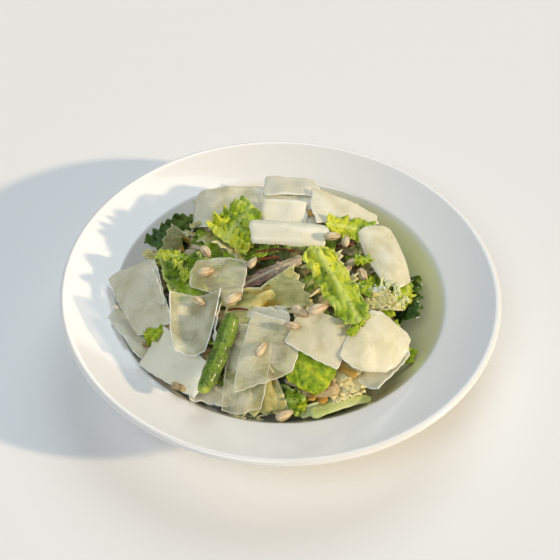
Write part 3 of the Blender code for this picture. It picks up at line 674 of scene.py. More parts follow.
def leaf_finish(name, look, base, tip, deep, rib, veined=0.6, rimmed=0.3):
    """A leaf: one colour at its base and one at its tip, paler on its veins, with painted shade
    in its hollows and painted light on its raised parts.
    """
    kit = Finish(name, Subsurface_Weight=0.2, Subsurface_Scale=0.0015,
                 Subsurface_Radius=(0.7, 1.0, 0.25), Specular_IOR_Level=0.3)
    vein, along, edge, relief = (kit.mark(mark) for mark in ("vein", "along", "edge", "relief"))
    mottle = kit.noise(4.5, detail=4.0, roughness=0.6)
    colour = kit.blend((along + (mottle - 0.5) * 1.6).between(-0.9, 0.9), base, tip)
    # Painted shade where the relief is low, and painted light where it is high
    painted_hollow_shade = (1 - relief + (mottle - 0.5) * 0.7).between(0.45, 0.9)
    colour = kit.blend(painted_hollow_shade * 0.85, colour, deep)
    colour = kit.blend(relief.between(0.6, 1.0) * 0.35, colour, rib)
    colour = kit.blend(vein * veined, colour, rib)
    colour = kit.blend(edge.between(0.8, 1.0) * rimmed, colour, rib)
    colour = kit.blend(kit.flecks(0.9, 0.6) * 0.7, colour, look.herb)
    return kit.done(colour, 0.32 + mottle * 0.3, kit.noise(1.3, detail=3.0) * 0.6 + vein * 0.8 + mottle, 0.4)


def pasta_finish(look):
    """Boiled pasta: pale, see-through, finely rough, with a thin oil gloss, and amber in its folds:
    the pinched middle's own deeper colour, with painted shade in the creases of its pleats and ridges.
    """
    kit = Finish("boiled pasta", Subsurface_Weight=0.3, Subsurface_Scale=0.002,
                 Subsurface_Radius=(1.0, 0.8, 0.4), Coat_Weight=0.15, Coat_Roughness=0.25,
                 Specular_IOR_Level=0.35)
    fold, rim = kit.mark("vein"), kit.mark("rim")
    cloud = kit.noise(9, detail=3.0, warp=0.5)
    colour = kit.blend(cloud.between(0.35, 0.65), look.pasta, look.pasta_shade)
    # Painted shade and light per bow: its mark above 0 darkens it, below 0 pales it to cream
    colour = kit.blend(kit.mark("tone"), colour, look.pasta_wet)
    colour = kit.blend(kit.mark("tone") * -0.8, colour, look.cream)
    # Amber where the fold mark is high: the pinched middle's own colour, and painted shade in the creases
    colour = kit.blend((fold + (cloud - 0.5) * 0.8).between(0.35, 0.95) * 0.9, colour, look.fold)
    colour = kit.blend(rim * 0.7, colour, look.pasta_edge)
    colour = kit.blend(kit.flecks(0.9, 0.45) * 0.6, colour, look.herb)
    ridges = (kit.mark("across") * 90.0).sine()
    return kit.done(colour, 0.38 + cloud * 0.2, kit.noise(0.9, detail=3.0) + ridges * 0.2, 0.12)


def nut_finish(look):
    """A pine nut: cream, toasted brown in patches and at its pointed tip."""
    kit = Finish("toasted pine nut", Subsurface_Weight=0.15, Subsurface_Scale=0.001,
                 Specular_IOR_Level=0.6)
    along = kit.mark("along")
    patch = kit.noise(5, detail=3.0)
    streak = (kit.mark("across") * 22.0 + patch * 5.0).sine() * 0.5 + 0.5
    colour = kit.blend((patch + along * 0.16 + streak * 0.2).between(0.52, 0.82), look.nut, look.toasted)
    colour = kit.blend(along.between(0.75, 1.0) * 0.7, colour, look.nut_tip)
    return kit.done(colour, 0.34 + patch * 0.2, kit.noise(1.1, detail=3.0) + streak * 0.8, 0.4)


def bean_finish(look):
    """A cooked green bean: cloudy bright and dark green, wrinkled, with a pale tip, oily."""
    kit = Finish("cooked green bean", Coat_Weight=0.3, Coat_Roughness=0.2, Subsurface_Weight=0.1,
                 Subsurface_Scale=0.001)
    along = kit.mark("along")
    cloud = kit.noise(6, detail=4.0, roughness=0.6, warp=1.2)
    wrinkle = kit.noise(1.6, detail=4.0, warp=0.8)
    colour = kit.blend((cloud + (wrinkle - 0.5) * 0.9).between(0.42, 0.66), look.bean, look.bean_dark)
    colour = kit.blend((along + cloud * 0.3).between(0.95, 1.1), colour, look.bean_tip)
    colour = kit.blend(wrinkle.between(0.58, 0.72) * 0.5, colour, look.bean_tip)
    return kit.done(colour, 0.2 + wrinkle * 0.3, wrinkle * 1.5 + cloud, 0.9)


def chicken_finish(look):
    """Roast chicken: pale fibres with brown between them and on the outside."""
    kit = Finish("torn roast chicken", Subsurface_Weight=0.15, Subsurface_Scale=0.0015)
    fibre = kit.mark("vein")
    cloud = kit.noise(6, detail=3.0)
    colour = kit.blend((fibre * 0.05 + cloud).between(0.32, 0.6), look.chicken_brown, look.chicken)
    return kit.done(colour, 0.45 + cloud * 0.15, kit.noise(0.9, detail=3.0), 0.15)


def core_finish(look):
    """What lies deep between the pieces: dark leaf, brown dressing and shade."""
    kit = Finish("depth of the heap", Specular_IOR_Level=0.5)
    cloud = kit.noise(7, detail=4.0, warp=0.8)
    colour = kit.blend(cloud.between(0.35, 0.65), look.deep_green, look.deep_brown)
    return kit.done(colour, 0.35 + cloud * 0.3, kit.noise(2.2, detail=4.0), 0.9)


# ---------------------------------------------------------------- what a user would change

def colour(name, text, *default):
    return FloatVectorProperty(name=name, description=text, subtype="COLOR", size=3, min=0.0, max=1.0,
                               default=default)


def number(name, text, default, **more):
    return FloatProperty(name=name, description=text, default=default, **more)


def share(name, text, default):
    return number(name, text, default, subtype="FACTOR", min=0.0, max=1.0)


def count(name, text, default, least, most):
    return IntProperty(name=name, description=text, default=default, min=least, max=most)


class SaladPlate(bpy.types.PropertyGroup):
    glaze: colour("Glaze", "Colour of the glaze", 0.87, 0.86, 0.84)
    glaze_shade: colour("Glaze shade", "Second colour of the glaze", 0.84, 0.825, 0.80)
    # Painted bounce light: the next two set the green-yellow tint on the well's right wall and how much it
    # covers
    dressing: colour("Dressing", "Colour where dressing has run", 0.80, 0.765, 0.42)
    dressing_share: share("Dressing cover", "How much the dressing covers", 0.9)
    clay: colour("Clay", "Colour of the bare foot", 0.62, 0.57, 0.50)


class SaladCheese(bpy.types.PropertyGroup):
    cheese: colour("Cheese", "Colour of the shavings", 0.92, 0.88, 0.71)
    oiled: colour("Oiled", "Colour of the oiled patches", 0.57, 0.55, 0.25)
    yellowed: colour("Yellowed", "Colour near the rind", 0.72, 0.58, 0.22)
    edge: colour("Edge", "Colour of the cut edges", 0.97, 0.96, 0.91)
    herb: colour("Herb", "Colour of the herb specks", 0.40, 0.38, 0.15)
    clearness: share("Clearness", "How much the thinnest shavings let through", 1.0)


class SaladLeaves(bpy.types.PropertyGroup):
    yellow: colour("Yellow leaf", "Colour of the inner leaves", 0.64, 0.67, 0.03)
    bright: colour("Bright leaf", "Colour of the leaves' tips", 0.28, 0.42, 0.013)
    green: colour("Green leaf", "Colour of the outer leaves", 0.13, 0.22, 0.008)
    # Painted shade: the deep and darkest greens colour the leaves' hollows; deep is also the dark leaf's tip
    # and the herbs'
    deep: colour("Deep green", "Colour in the leaves' hollows", 0.07, 0.11, 0.006)
    dark: colour("Dark leaf", "Colour of the darkest leaves", 0.055, 0.115, 0.03)
    darkest: colour("Darkest green", "Colour in the dark leaves' hollows", 0.018, 0.045, 0.012)
    pale: colour("Pale rib", "Colour of the thick pale ribs", 0.72, 0.76, 0.42)
    rib: colour("Rib", "Colour of ribs and veins", 0.64, 0.72, 0.22)
    purple: colour("Purple", "Colour of the red leaf", 0.18, 0.07, 0.05)
    red: colour("Red strand", "Colour of the thin strips of red onion", 0.20, 0.035, 0.025)
    purple_rib: colour("Purple leaf's rib", "Colour of the red leaf's rib", 0.55, 0.47, 0.33)
    herb: colour("Herb", "Colour of the herb specks", 0.03, 0.05, 0.012)


class SaladPasta(bpy.types.PropertyGroup):
    pasta: colour("Pasta", "Colour of the pasta", 0.66, 0.60, 0.25)
    pasta_shade: colour("Pasta shade", "Second colour of the pasta", 0.42, 0.40, 0.13)
    # Painted shade and light: the wet colour darkens bows that lie in shade, and cream is painted light that
    # pales bows
    pasta_wet: colour("Wet pasta", "Colour of the bows that lie in the dressing", 0.18, 0.19, 0.07)
    cream: colour("Cream pasta", "Colour of the palest pasta", 0.95, 0.84, 0.46)
    pasta_edge: colour("Pasta edge", "Colour of the cut edges", 0.84, 0.80, 0.52)
    fold: colour("Fold", "Colour in the pinched middle", 0.58, 0.38, 0.05)
    herb: colour("Herb", "Colour of the herb specks", 0.10, 0.12, 0.03)


class SaladMorsels(bpy.types.PropertyGroup):
    nut: colour("Nut", "Colour of the pine nuts", 0.76, 0.64, 0.42)
    toasted: colour("Toasted", "Colour of the toasted patches", 0.50, 0.34, 0.17)
    nut_tip: colour("Nut tip", "Colour of the pine nuts' tips", 0.40, 0.20, 0.07)
    bean: colour("Bean", "Colour of the bean", 0.18, 0.30, 0.012)
    bean_dark: colour("Bean streaks", "Colour of the bean's streaks", 0.06, 0.12, 0.008)
    bean_tip: colour("Bean tip", "Colour of the bean's broken end", 0.40, 0.50, 0.06)
    chicken: colour("Chicken", "Colour of the chicken's fibres", 0.55, 0.44, 0.23)
    chicken_brown: colour("Roast brown", "Colour of the roast outside", 0.28, 0.17, 0.06)
    amber: colour("Amber", "Colour of the soft fried onion", 0.56, 0.34, 0.07)


class SaladHeap(bpy.types.PropertyGroup):
    deep_green: colour("Deep green", "Colour of the depth", 0.10, 0.13, 0.02)
    deep_brown: colour("Deep brown", "Colour of the depth's brown places", 0.13, 0.10, 0.035)
    scraps: count("Scraps", "Small pieces between the large ones", 190, 0, 400)
    flank_scraps: count("Flank scraps", "Small pieces round the heap's steep side", 120, 1, 300)
    flecks: count("Herb flecks", "Flecks of chopped herb", 150, 0, 1000)
    crumbs: count("Cheese crumbs", "Crumbs of grated cheese", 110, 0, 1000)


class SaladStage(bpy.types.PropertyGroup):
    floor: colour("Floor", "Colour of the floor", 0.86, 0.86, 0.86)
    sky: colour("Room light", "Colour of the soft lights", 0.865, 0.94, 0.99)
    sky_strength: number("Room light strength", "Light from all round", 0.11, min=0.0)
    front_strength: number("Front light strength", "Soft light above the camera", 1.4, min=0.0)
    side_strength: number("Side light strength", "Soft light behind, right", 1.02, min=0.0)
    sun: colour("Key light", "Colour of the key light", 1.0, 0.78, 0.50)
    sun_strength: number("Key light strength", "Light from the right", 2.8, min=0.0)
    sun_heading: number("Key light heading", "Turn of the key light from +X", math.radians(-15),
                        subtype="ANGLE")
    sun_height: number("Key light height", "Key light above the table", math.radians(20.5),
                       subtype="ANGLE")
    lens: number("Lens", "Focal length of the camera in millimetres", 62.56, min=10.0)


# ---------------------------------------------------------------- the plate

PLATE_RADIUS = 135.0
PLATE_HEIGHT = 45.0
WELL_RADIUS = 102.0
WELL_EDGE_HEIGHT = 34.4
WELL_FLOOR_HEIGHT = 8.4
WELL_FLOOR_RADIUS = 60.0
WALL_SLOPE = math.radians(50)
WALL_BEND = ((WELL_RADIUS - WELL_FLOOR_RADIUS
              - (WELL_EDGE_HEIGHT - WELL_FLOOR_HEIGHT) / math.tan(WALL_SLOPE))
             / math.tan(WALL_SLOPE / 2))
PLATE_THICKNESS = 4.6
LIP_RADIUS = 2.3
FOOT_RADIUS = 58.0
FOOT_WIDTH = 5.0
FOOT_HEIGHT = 3.0
PLATE_SEGMENTS = 240


def well_height(radius):
    """The height of the plate's inside: a flat floor, a bend and then a straight wall."""
    out = np.clip(np.asarray(radius, float), WELL_FLOOR_RADIUS, WELL_RADIUS) - WELL_FLOOR_RADIUS
    bent = np.minimum(out, WALL_BEND * math.sin(WALL_SLOPE))
    rise = WALL_BEND - np.sqrt(WALL_BEND ** 2 - bent ** 2)
    return WELL_FLOOR_HEIGHT + rise + (out - bent) * math.tan(WALL_SLOPE)


def rounded_path(corners, steps=7):
    """A path through corners (x, y, cut), each replaced by a quadratic arc that starts cut before it."""
    corners = np.asarray(corners, float)
    path = [corners[:1, :2]]
    share = np.linspace(0, 1, steps)[:, None]
    for before, corner, after in zip(corners, corners[1:], corners[2:]):
        here, cut = corner[:2], corner[2]
        start = here + unit(before[:2] - here) * cut
        end = here + unit(after[:2] - here) * cut
        path.append((1 - share) ** 2 * start + 2 * share * (1 - share) * here + share ** 2 * end)
    path.append(corners[-1:, :2])
    return np.concatenate(path)


def plate_profile():
    """Half the plate's section, from the middle of the well out over the rim and back below it."""
    radius = np.concatenate([np.linspace(2, WELL_FLOOR_RADIUS, 6),
                             np.linspace(WELL_FLOOR_RADIUS + 1.5, WELL_RADIUS - 1.4, 28)])
    well = np.stack([radius, well_height(radius)], axis=-1)
    rim_end = PLATE_RADIUS - LIP_RADIUS
    edge = rounded_path([(WELL_RADIUS - 0.9, well_height(WELL_RADIUS - 0.9), 0),
                         (WELL_RADIUS + 0.4, WELL_EDGE_HEIGHT + 0.5, 1.2),
                         (WELL_RADIUS + 4, WELL_EDGE_HEIGHT + 1.5, 0)])
    out = np.linspace(WELL_RADIUS + 6, rim_end, 12)
    rim = np.stack([out, np.interp(out, [WELL_RADIUS, rim_end], [WELL_EDGE_HEIGHT, PLATE_HEIGHT])
                    - 0.35 * np.sin(np.linspace(0, math.pi, 12))], axis=-1)
    turn = np.linspace(0.1, math.pi, 14)
    lip = np.stack([rim_end + LIP_RADIUS * np.sin(turn),
                    PLATE_HEIGHT - LIP_RADIUS * (1 - np.cos(turn))], axis=-1)
    foot_out, foot_in = FOOT_RADIUS + FOOT_WIDTH / 2, FOOT_RADIUS - FOOT_WIDTH / 2
    under = rounded_path([(rim_end - 1, PLATE_HEIGHT - 2 * LIP_RADIUS - 0.3, 0),
                          (WELL_RADIUS + 2, WELL_EDGE_HEIGHT - PLATE_THICKNESS + 0.6, 3),
                          (99, 25.0, 3), (90, 14.0, 4), (80, 6.8, 4), (70, FOOT_HEIGHT + 0.4, 3),
                          (foot_out + 0.8, FOOT_HEIGHT, 0.5), (foot_out, 0, 0.6), (foot_in, 0, 0.6),
                          (foot_in - 0.8, FOOT_HEIGHT, 0.5), (20, FOOT_HEIGHT, 2),
                          (2, FOOT_HEIGHT, 0)])
    return np.concatenate([well, edge, rim, lip, under])


def turned(profile, segments):
    """Turn a profile of (radius, height) round Z."""
    turn = np.arange(segments) * 2 * math.pi / segments
    radius, height = profile.T
    ring = np.stack([radius * np.cos(turn)[:, None], radius * np.sin(turn)[:, None],
                     height * np.ones((segments, 1))], axis=-1)
    return capped(ring, height[0], height[-1])


class SALAD_OT_plate(bpy.types.Operator):
    """Turn the plate's finer profile and glaze it"""
    bl_idname = "salad.plate"
    bl_label = "Plate"

    def execute(self, context):
        put("rimmed_plate", turned(plate_profile(), PLATE_SEGMENTS),
            porcelain_finish(context.scene.salad_plate), "porcelain", "plate")
        return {"FINISHED"}


# ---------------------------------------------------------------- the larger pieces

class SALAD_OT_shavings(bpy.types.Operator):
    """Lay the shavings of hard cheese"""
    bl_idname = "salad.shavings"
    bl_label = "Cheese shavings"

    def execute(self, context):
        look = context.scene.salad_cheese
        material = cheese_finish(look)
        for name, (at, turn, grid, clear, form) in SHAVINGS.items():
            node = f"parmesan_{name}"
            fine = sheet(**form, grid=FINE_SHAVING, fine=True, ragged=0.22, wavy=0.5, thin_edge=0.3)
            fine.paint("clear", look.clearness * clear)
            put(f"shaving_{name}", fitted(node, sheet(**form, grid=grid), fine, at, turn), material,
                "parmesan", node, sharp=50)
        return {"FINISHED"}


def leaf_finishes(look):
    """The leaves' materials, by the word that LEAVES uses."""
    return {
        # The fourth colour of each leaf is the painted shade in its hollows
        "yellow": leaf_finish("yellow lettuce", look, look.yellow, look.bright, look.green, look.rib),
        "bright": leaf_finish("bright lettuce", look, look.bright, look.bright, look.green, look.yellow),
        "green": leaf_finish("green lettuce", look, look.green, look.bright, look.darkest, look.rib,
                             veined=0.35, rimmed=0.9),
        "dark": leaf_finish("dark leaf", look, look.dark, look.deep, look.darkest, look.green,
                            veined=0.25),
        "purple": leaf_finish("purple leaf", look, look.purple, look.purple_rib, look.purple,
                              look.purple_rib, veined=1.0),
        "rib": leaf_finish("pale rib", look, look.pale, look.pale, look.rib, look.pale),
    }


class SALAD_OT_leaves(bpy.types.Operator):
    """Lay the leaves of lettuce, kale and radicchio"""
    bl_idname = "salad.leaves"
    bl_label = "Leaves"

    def execute(self, context):
        materials = leaf_finishes(context.scene.salad_leaves)
        for node, (at, turn, grid, finish, form, detail) in LEAVES.items():
            form = dict(form, thickness=LEAF_THICKNESS)
            fine = sheet(**form, **detail, grid=FINE_LEAF, fine=True, thin_edge=0.35)
            shape = fitted(node, sheet(**form, grid=grid), fine, at, turn)
            slot = next(slot for slot in ("dark_leaf", "lettuce", "radicchio") if node.startswith(slot))
            put(f"leaf_{node}", shape, materials[finish], slot, node)
        return {"FINISHED"}


class SALAD_OT_bows(bpy.types.Operator):
    """Lay the pasta bows"""
    bl_idname = "salad.bows"
    bl_label = "Pasta bows"

    def execute(self, context):
        material = pasta_finish(context.scene.salad_pasta)
        for name, (at, turn, grid, tone, form) in BOWS.items():
            node = f"pasta_bow_{name}"
            fine = bow(**form, grid=FINE_BOW, fine=True)
            fine.paint("tone", tone)
            put(f"bow_{name}", fitted(node, bow(**form, grid=grid), fine, at, turn), material, "pasta",
                node, sharp=55)
        return {"FINISHED"}


class SALAD_OT_morsels(bpy.types.Operator):
    """Lay the pine nuts, the bean and the chicken"""
    bl_idname = "salad.morsels"
    bl_label = "Nuts, bean and chicken"

    def execute(self, context):
        look = context.scene.salad_morsels
        nut = nut_finish(look)
        for place, (x, y, heading, length) in enumerate(NUTS, start=1):
            node = f"pine_nut_{place:02d}"
            put(f"toasted_{node}", fitted(node, pine_nut(length), pine_nut(length, steps=22), (x, y),
                                          (heading, 0, 0)), nut, "pine_nut", node)
        at, turn, length = BEAN
        put("cooked_bean", fitted("green_bean", green_bean(length), green_bean(length, steps=70), at, turn),
            bean_finish(look), "green_bean", "green_bean")
        chicken = chicken_finish(look)
        for node, (at, turn, form) in CHICKEN.items():
            put(f"torn_{node}", fitted(node, torn_chicken(*form), torn_chicken(*form, steps=40), at, turn),
                chicken, "chicken", node)
        return {"FINISHED"}


# ---------------------------------------------------------------- the heap

# Lengths in millimetres
GAP = 0.4
CORE_PEAK = 58.0
CORE_FLOOR = 14.0
CORE_MIDDLE = (-6.0, 0.0)
CORE_HALF_SPAN = (84.0, 81.0)
CORE_REACH = 82.0
CORE_REACH_DIP = 5.0
CORE_EDGE = 2.2
CORE_BUMP = 1.3
CORE_LIFT = 0.8
CORE_SEGMENTS = 220
CORE_RINGS = 80
# The first scraps keep the solids' distance, the ones after them lie closer
SCRAPS = 30
SCRAP_TRIES = 5400
SCRAP_APART = 8.0
SCRAP_APART_AFTER = 3.5
SCRAP_SEED = 8
SCRAP_CLEARANCE = 0.35
FLANK_SEED = 21
FLANK_TRIES = 900
# The golden angle spreads the places evenly round the heap
FLANK_STEP = 2.39996
FLANK_LOW = 21.0
FLANK_SPAN = 14.0


def core_height(x, y):
    """The height of the core's top: half an ellipsoid with low bumps."""
    inside = 1 - ((x - CORE_MIDDLE[0]) / CORE_HALF_SPAN[0]) ** 2 \
        - ((y - CORE_MIDDLE[1]) / CORE_HALF_SPAN[1]) ** 2
    dome = CORE_FLOOR + (CORE_PEAK - CORE_FLOOR) * np.sqrt(np.clip(inside, 0, 1))
    bumps = CORE_BUMP * (np.sin(x / 6.5) * np.cos(y / 8.0) + np.sin(x / 13.0 + y / 9.0))
    return np.maximum(dome + bumps, well_height(np.hypot(x, y)) + GAP + CORE_EDGE)


def core_reach(angle):
    """How far the heap reaches from the plate's axis: less at the right, where the wall shows."""
    return CORE_REACH - CORE_REACH_DIP * np.maximum(0.0, np.cos(angle)) + 0.9 * np.sin(5 * angle)


def core_shape():
    """The core: a dome with relief over an underside that follows the well, closed as one turned grid."""
    turn = (np.arange(CORE_SEGMENTS) * 2 * math.pi / CORE_SEGMENTS)[:, None]
    top = np.linspace(0, 1, CORE_RINGS + 1)[1:] ** 0.85
    under_reach = np.linspace(1.0, 0.05, 14) * core_reach(turn)
    x, y = top * core_reach(turn) * np.cos(turn), top * core_reach(turn) * np.sin(turn)
    flat = np.stack([x, y], axis=-1)
    relief = (1.4 * ripple(flat, 9, 5) + 0.8 * ripple(flat, 4, 6)) * (1 - top ** 6)
    upper = np.stack([x, y, core_height(x, y) + relief], axis=-1)
    lower = np.stack([under_reach * np.cos(turn), under_reach * np.sin(turn),
                      well_height(under_reach) + CORE_LIFT], axis=-1)
    return capped(np.concatenate([upper, lower], axis=1), float(core_height(0.0, 0.0)),
                  WELL_FLOOR_HEIGHT + CORE_LIFT)


def scrap(kind, rng):
    """One small piece of the heap: its plain form, and the form that shows."""
    size = rng.uniform(0.8, 1.2)
    seed = int(rng.integers(1000))
    if kind == "pasta":
        form = dict(length=32 * size, width=23 * size)
        return bow(**form, grid=(5, 4)), bow(**form, grid=(24, 48), fine=True)
    if kind == "onion":
        form = dict(length=24 * size, width=4.5, end_width=3.5, bend=-60, thickness=1.6, seed=seed)
        return sheet(**form, grid=(5, 1)), sheet(**form, grid=(24, 6), fine=True, thin_edge=0.5)
    if kind == "chicken":
        form = (17 * size, 9 * size, 7 * size, seed)
        return torn_chicken(*form), torn_chicken(*form, steps=18)
    form = dict(length=22 * size, width=16 * size, end_width=12 * size, bend=-20,
                cup=rng.uniform(-40, 40), ruffle=1.4, thickness=LEAF_THICKNESS, seed=seed)
    return (sheet(**form, grid=(4, 3)),
            sheet(**form, grid=(19, 14), fine=True, thin_edge=0.4, ragged=0.7, frill=0.8, puff=0.8))


def core_lean(x, y):
    """The slope of the core at a place, as a turn from level."""
    rise_x = float(core_height(x + 3, y) - core_height(x - 3, y)) / 6
    rise_y = float(core_height(x, y + 3) - core_height(x, y - 3)) / 6
    steepness = math.hypot(rise_x, rise_y)
    axis = Vector((rise_y, -rise_x, 0.0)) / max(steepness, 1e-6)
    return Matrix.Rotation(-math.atan(steepness), 3, axis)


def crosses(tree, shape):
    return bool(tree.overlap(BVHTree.FromPolygons(shape.points.tolist(), shape.corner_lists())))


def scraps(total, solids):
    """Draw scraps over the core by the solids' own rule, then go on more closely packed."""
    rng = np.random.default_rng(SCRAP_SEED)
    kept = {"leaf": [], "pasta": [], "onion": [], "chicken": []}
    middles = np.zeros((0, 3))
    for _ in range(SCRAP_TRIES):
        if len(middles) >= total:
            break
        kind = str(rng.choice(["leaf", "leaf", "leaf", "pasta", "onion", "chicken"]))
        angle = rng.uniform(0, 2 * math.pi)
        reach = math.sqrt(rng.uniform(0.05, 0.9)) * core_reach(angle)
        x, y = reach * math.cos(angle), reach * math.sin(angle)
        plain, shown = scrap(kind, rng)
        turn = (rng.uniform(0, 360), rng.uniform(4, 26), rng.uniform(-24, 24))
        lean, lift = core_lean(x, y), (x, y, float(core_height(x, y)) + 0.9)
        plain = plain.posed(turn=turn).moved(lean, lift)
        apart = SCRAP_APART if len(middles) < SCRAPS else SCRAP_APART_AFTER
        middle = plain.points.mean(axis=0)
        if np.any(np.linalg.norm(middles - middle, axis=1) < apart) or crosses(solids, plain):
            continue
        clear = all(solids.find_nearest(point, SCRAP_CLEARANCE)[0] is None
                    for point in plain.points.tolist())
        if len(middles) >= SCRAPS or clear:
            middles = np.concatenate([middles, [middle]])
            kept[kind].append(shown.posed(turn=turn).moved(lean, lift))
    return kept


def flank_scraps(total, solids):
    """Scraps that lean on the core's steep side all round, clear of the solids."""
    rng = np.random.default_rng(FLANK_SEED)
    kept = {"leaf": [], "pasta": [], "onion": [], "chicken": []}
    for attempt in range(FLANK_TRIES):
        if sum(map(len, kept.values())) >= total:
            break
        kind = str(rng.choice(["leaf", "leaf", "leaf", "leaf", "pasta", "onion", "chicken"]))
        angle, rise, spin = attempt * FLANK_STEP, rng.uniform(0, 1), rng.uniform(-25, 25)
        outward = Vector((math.cos(angle), math.sin(angle), math.tan(math.radians(rng.uniform(5, 35)))))
        lean = Vector((0, 0, 1)).rotation_difference(outward).to_matrix()
        reach = core_reach(angle) + rng.uniform(0.5, 2.0) - 3 * rise
        lift = (reach * math.cos(angle), reach * math.sin(angle), FLANK_LOW + FLANK_SPAN * rise)
        shown = scrap(kind, rng)[1].posed(turn=(math.degrees(angle) + 90 + spin, 0, 0)).moved(lean, lift)
        if not crosses(solids, shown):
            kept[kind].append(shown)
    return kept


class SALAD_OT_heap(bpy.types.Operator):
    """Make the heap's core and the small pieces that lie on it"""
    bl_idname = "salad.heap"
    bl_label = "Heap"

    def execute(self, context):
        look, leaves = context.scene.salad_heap, context.scene.salad_leaves
        put("heap_core", core_shape(), core_finish(look), "salad", "salad_heap")
        leaf_finish("small leaf", leaves, leaves.green, leaves.bright, leaves.deep, leaves.rib, veined=0.3,
                    rimmed=0.15)
        leaf_finish("onion strip", leaves, leaves.purple_rib, leaves.purple_rib, leaves.purple,
                    leaves.purple, veined=0.0)
        solids = solids_but("salad_heap")
        above, beside = scraps(look.scraps, solids), flank_scraps(look.flank_scraps, solids)
        for kind, finish, slot in (("leaf", "small leaf", "lettuce"), ("pasta", "boiled pasta", "pasta"),
                                   ("onion", "onion strip", "radicchio"),
                                   ("chicken", "torn roast chicken", "chicken")):
            put(f"{kind}_scraps", joined(above[kind] + beside[kind]), bpy.data.materials[finish], slot)
        return {"FINISHED"}


TRIMMINGS = {
    # What lies between the large pieces: its finish and slot, and x, y, z, heading, pitch, roll, length
    # and width of each piece
    "cheese": ("shaved hard cheese", "parmesan", [
        (-3, -40, 57, -5, 10, 30, 14, 8), (-7, -45, 59, -12, 5, 20, 26, 11),
        (5, 47, 65.5, -3, 0, 8, 44, 18), (19, 36, 64, 20, 0, 0, 22, 18),
        (62, -64, 40, 50, 0, -6, 38, 15), (-88, -42, 37, -55, 0, -8, 44, 13),
        (-36, -81, 32, -14, 0, 6, 27, 17), (-36.5, -53, 61, -95, 0, 70, 30, 4),
        (-37, -80, 21, -20, 0, 0, 7, 4), (-74, -21, 55, -68, -4, 45, 28, 6),
        (58, -21, 58, 20, 0, 0, 9, 6),
    ]),
    "strand": ("pale rib", "lettuce", [
        (60, -15, 58, 80, 10, 20, 14, 2.2), (64, -17, 57, 62, 0, -20, 15, 2.2),
        (68, -21, 56, 88, -5, 10, 14, 2), (62, -10, 55, 112, 5, 0, 13, 2),
        (70, -14, 54, 97, -5, 0, 14, 2.2), (56, -26, 59, 28, 10, 0, 13, 2.2),
        (66, -28, 57, 58, 5, 0, 13, 2), (59, -20, 58, -20, 12, 0, 13, 1.8),
        (72, -24, 52, 60, -10, 0, 12, 1.8), (72, -8, 50, 75, -10, 0, 14, 2.2),
        (76, -14, 46, 100, -15, 10, 14, 2), (77, -3, 42, 65, -5, 0, 13, 2.2),
        (65, -4, 54, 95, -8, 0, 12, 2), (74, -20, 48, 80, -5, 15, 12, 2),
        (24, -87, 30, 8, 0, -30, 13, 2.5), (-15, -89, 22, -10, 0, -35, 14, 2.5),
        (-22, -92, 26, -16, 0, -40, 10, 2), (-8, -86, 20, 15, 8, -30, 12, 2.5),
    ]),
    "rib": ("pale rib", "lettuce", [
        (36, -85, 31, 22, -2, -6, 38, 9),
    ]),
    "frill": ("yellow lettuce", "lettuce", [
        (-66, 4, 57, -8, 0, 30, 24, 7), (-60, -9, 59, -68, 0, -25, 20, 6),
        (-54, -14, 57, -40, 0, 20, 14, 5), (-72, 8, 52, 50, 0, 20, 14, 5),
        (72, -13, 47, 82, 0, 25, 24, 13), (78, -4, 40, 80, 0, 30, 20, 11),
    ]),
    "leaf": ("bright lettuce", "lettuce", [
        (43, -57, 65, 47, 6, 0, 13, 5), (14, -86, 32, 60, -10, 0, 11, 8),
        (-73, -50, 48, 25, 0, 0, 12, 6), (-76, -47, 36, -30, 0, 10, 16, 9),
        (-70, -52, 50, 60, 0, 0, 12, 6), (66, -5, 50, 70, 0, 0, 14, 8),
        (50, -20, 59.5, 75, -12, 0, 17, 11), (51, 2, 60, 20, -8, 10, 15, 8),
    ]),
    "pasta": ("boiled pasta", "pasta", [
        (47, -50, 63, 42, 0, 20, 20, 4), (-81, 13, 46, -50, 10, 15, 20, 6),
        (-54, 29, 60, 30, 0, 0, 8, 4), (-58, 26, 55, -20, 0, 0, 8, 4), (59, -27, 59, 50, 0, 0, 16, 6),
        (52, -34, 59.5, 10, 0, 12, 15, 8), (61, -31, 59, 35, 0, 10, 14, 7),
    ]),
    # Painted light: pasta pieces beside the right bow, paled to cream by their mark
    "cream": ("boiled pasta", "pasta", [
        (40, -78, 32, 26, -6, -15, 22, 9), (43, -68, 42, 24, 0, 0, 22, 11),
        (45, -73, 36, 24, 0, 10, 26, 11), (36, -75, 37, -40, 0, 0, 18, 6),
    ]),
    "amber": ("soft fried onion", "salad", [
        (19, -87, 39, 85, -30, 0, 9, 5), (26, -81, 33, 85, -50, 0, 10, 6),
        (25, -84, 33.8, 80, -20, 0, 10, 6), (18, 36, 65.5, -10, 0, 0, 8, 4.5),
        (38, -70.5, 43.6, -38, 0, 0, 15, 6),
    ]),
    "chicken": ("torn roast chicken", "chicken", [
        (-56, -83, 40, -25, 0, 0, 8, 4), (-70, -52, 48, 20, 0, 0, 9, 5), (-76, -46, 44, 70, 0, 0, 7, 4),
        (-80, -49, 35, -50, 0, 0, 11, 5), (-74, -50, 46, -60, 0, 0, 10, 5),
        (-63, -48, 47, -30, 0, 0, 9, 4), (-41, -58, 41, 60, -20, 0, 11, 5),
        (-42, -66, 44.5, 20, 0, 0, 8, 4), (-43, -74, 20, -40, 0, 0, 8, 4),
    ]),
    "onion": ("red strand", "radicchio", [
        (-24.5, -40, 59, -3, 6, 0, 12, 1.4), (-3, 7, 61.5, 4, 0, 0, 28, 1.3),
        (36, 17, 56, 0, 10, 0, 14, 2), (44, 16, 60, 48, -20, 0, 9, 1.4),
        (-12, -2, 62, 24, -6, 0, 24, 1.6), (-20, -8, 60, 30, -4, 0, 18, 1.4),
    ]),
}

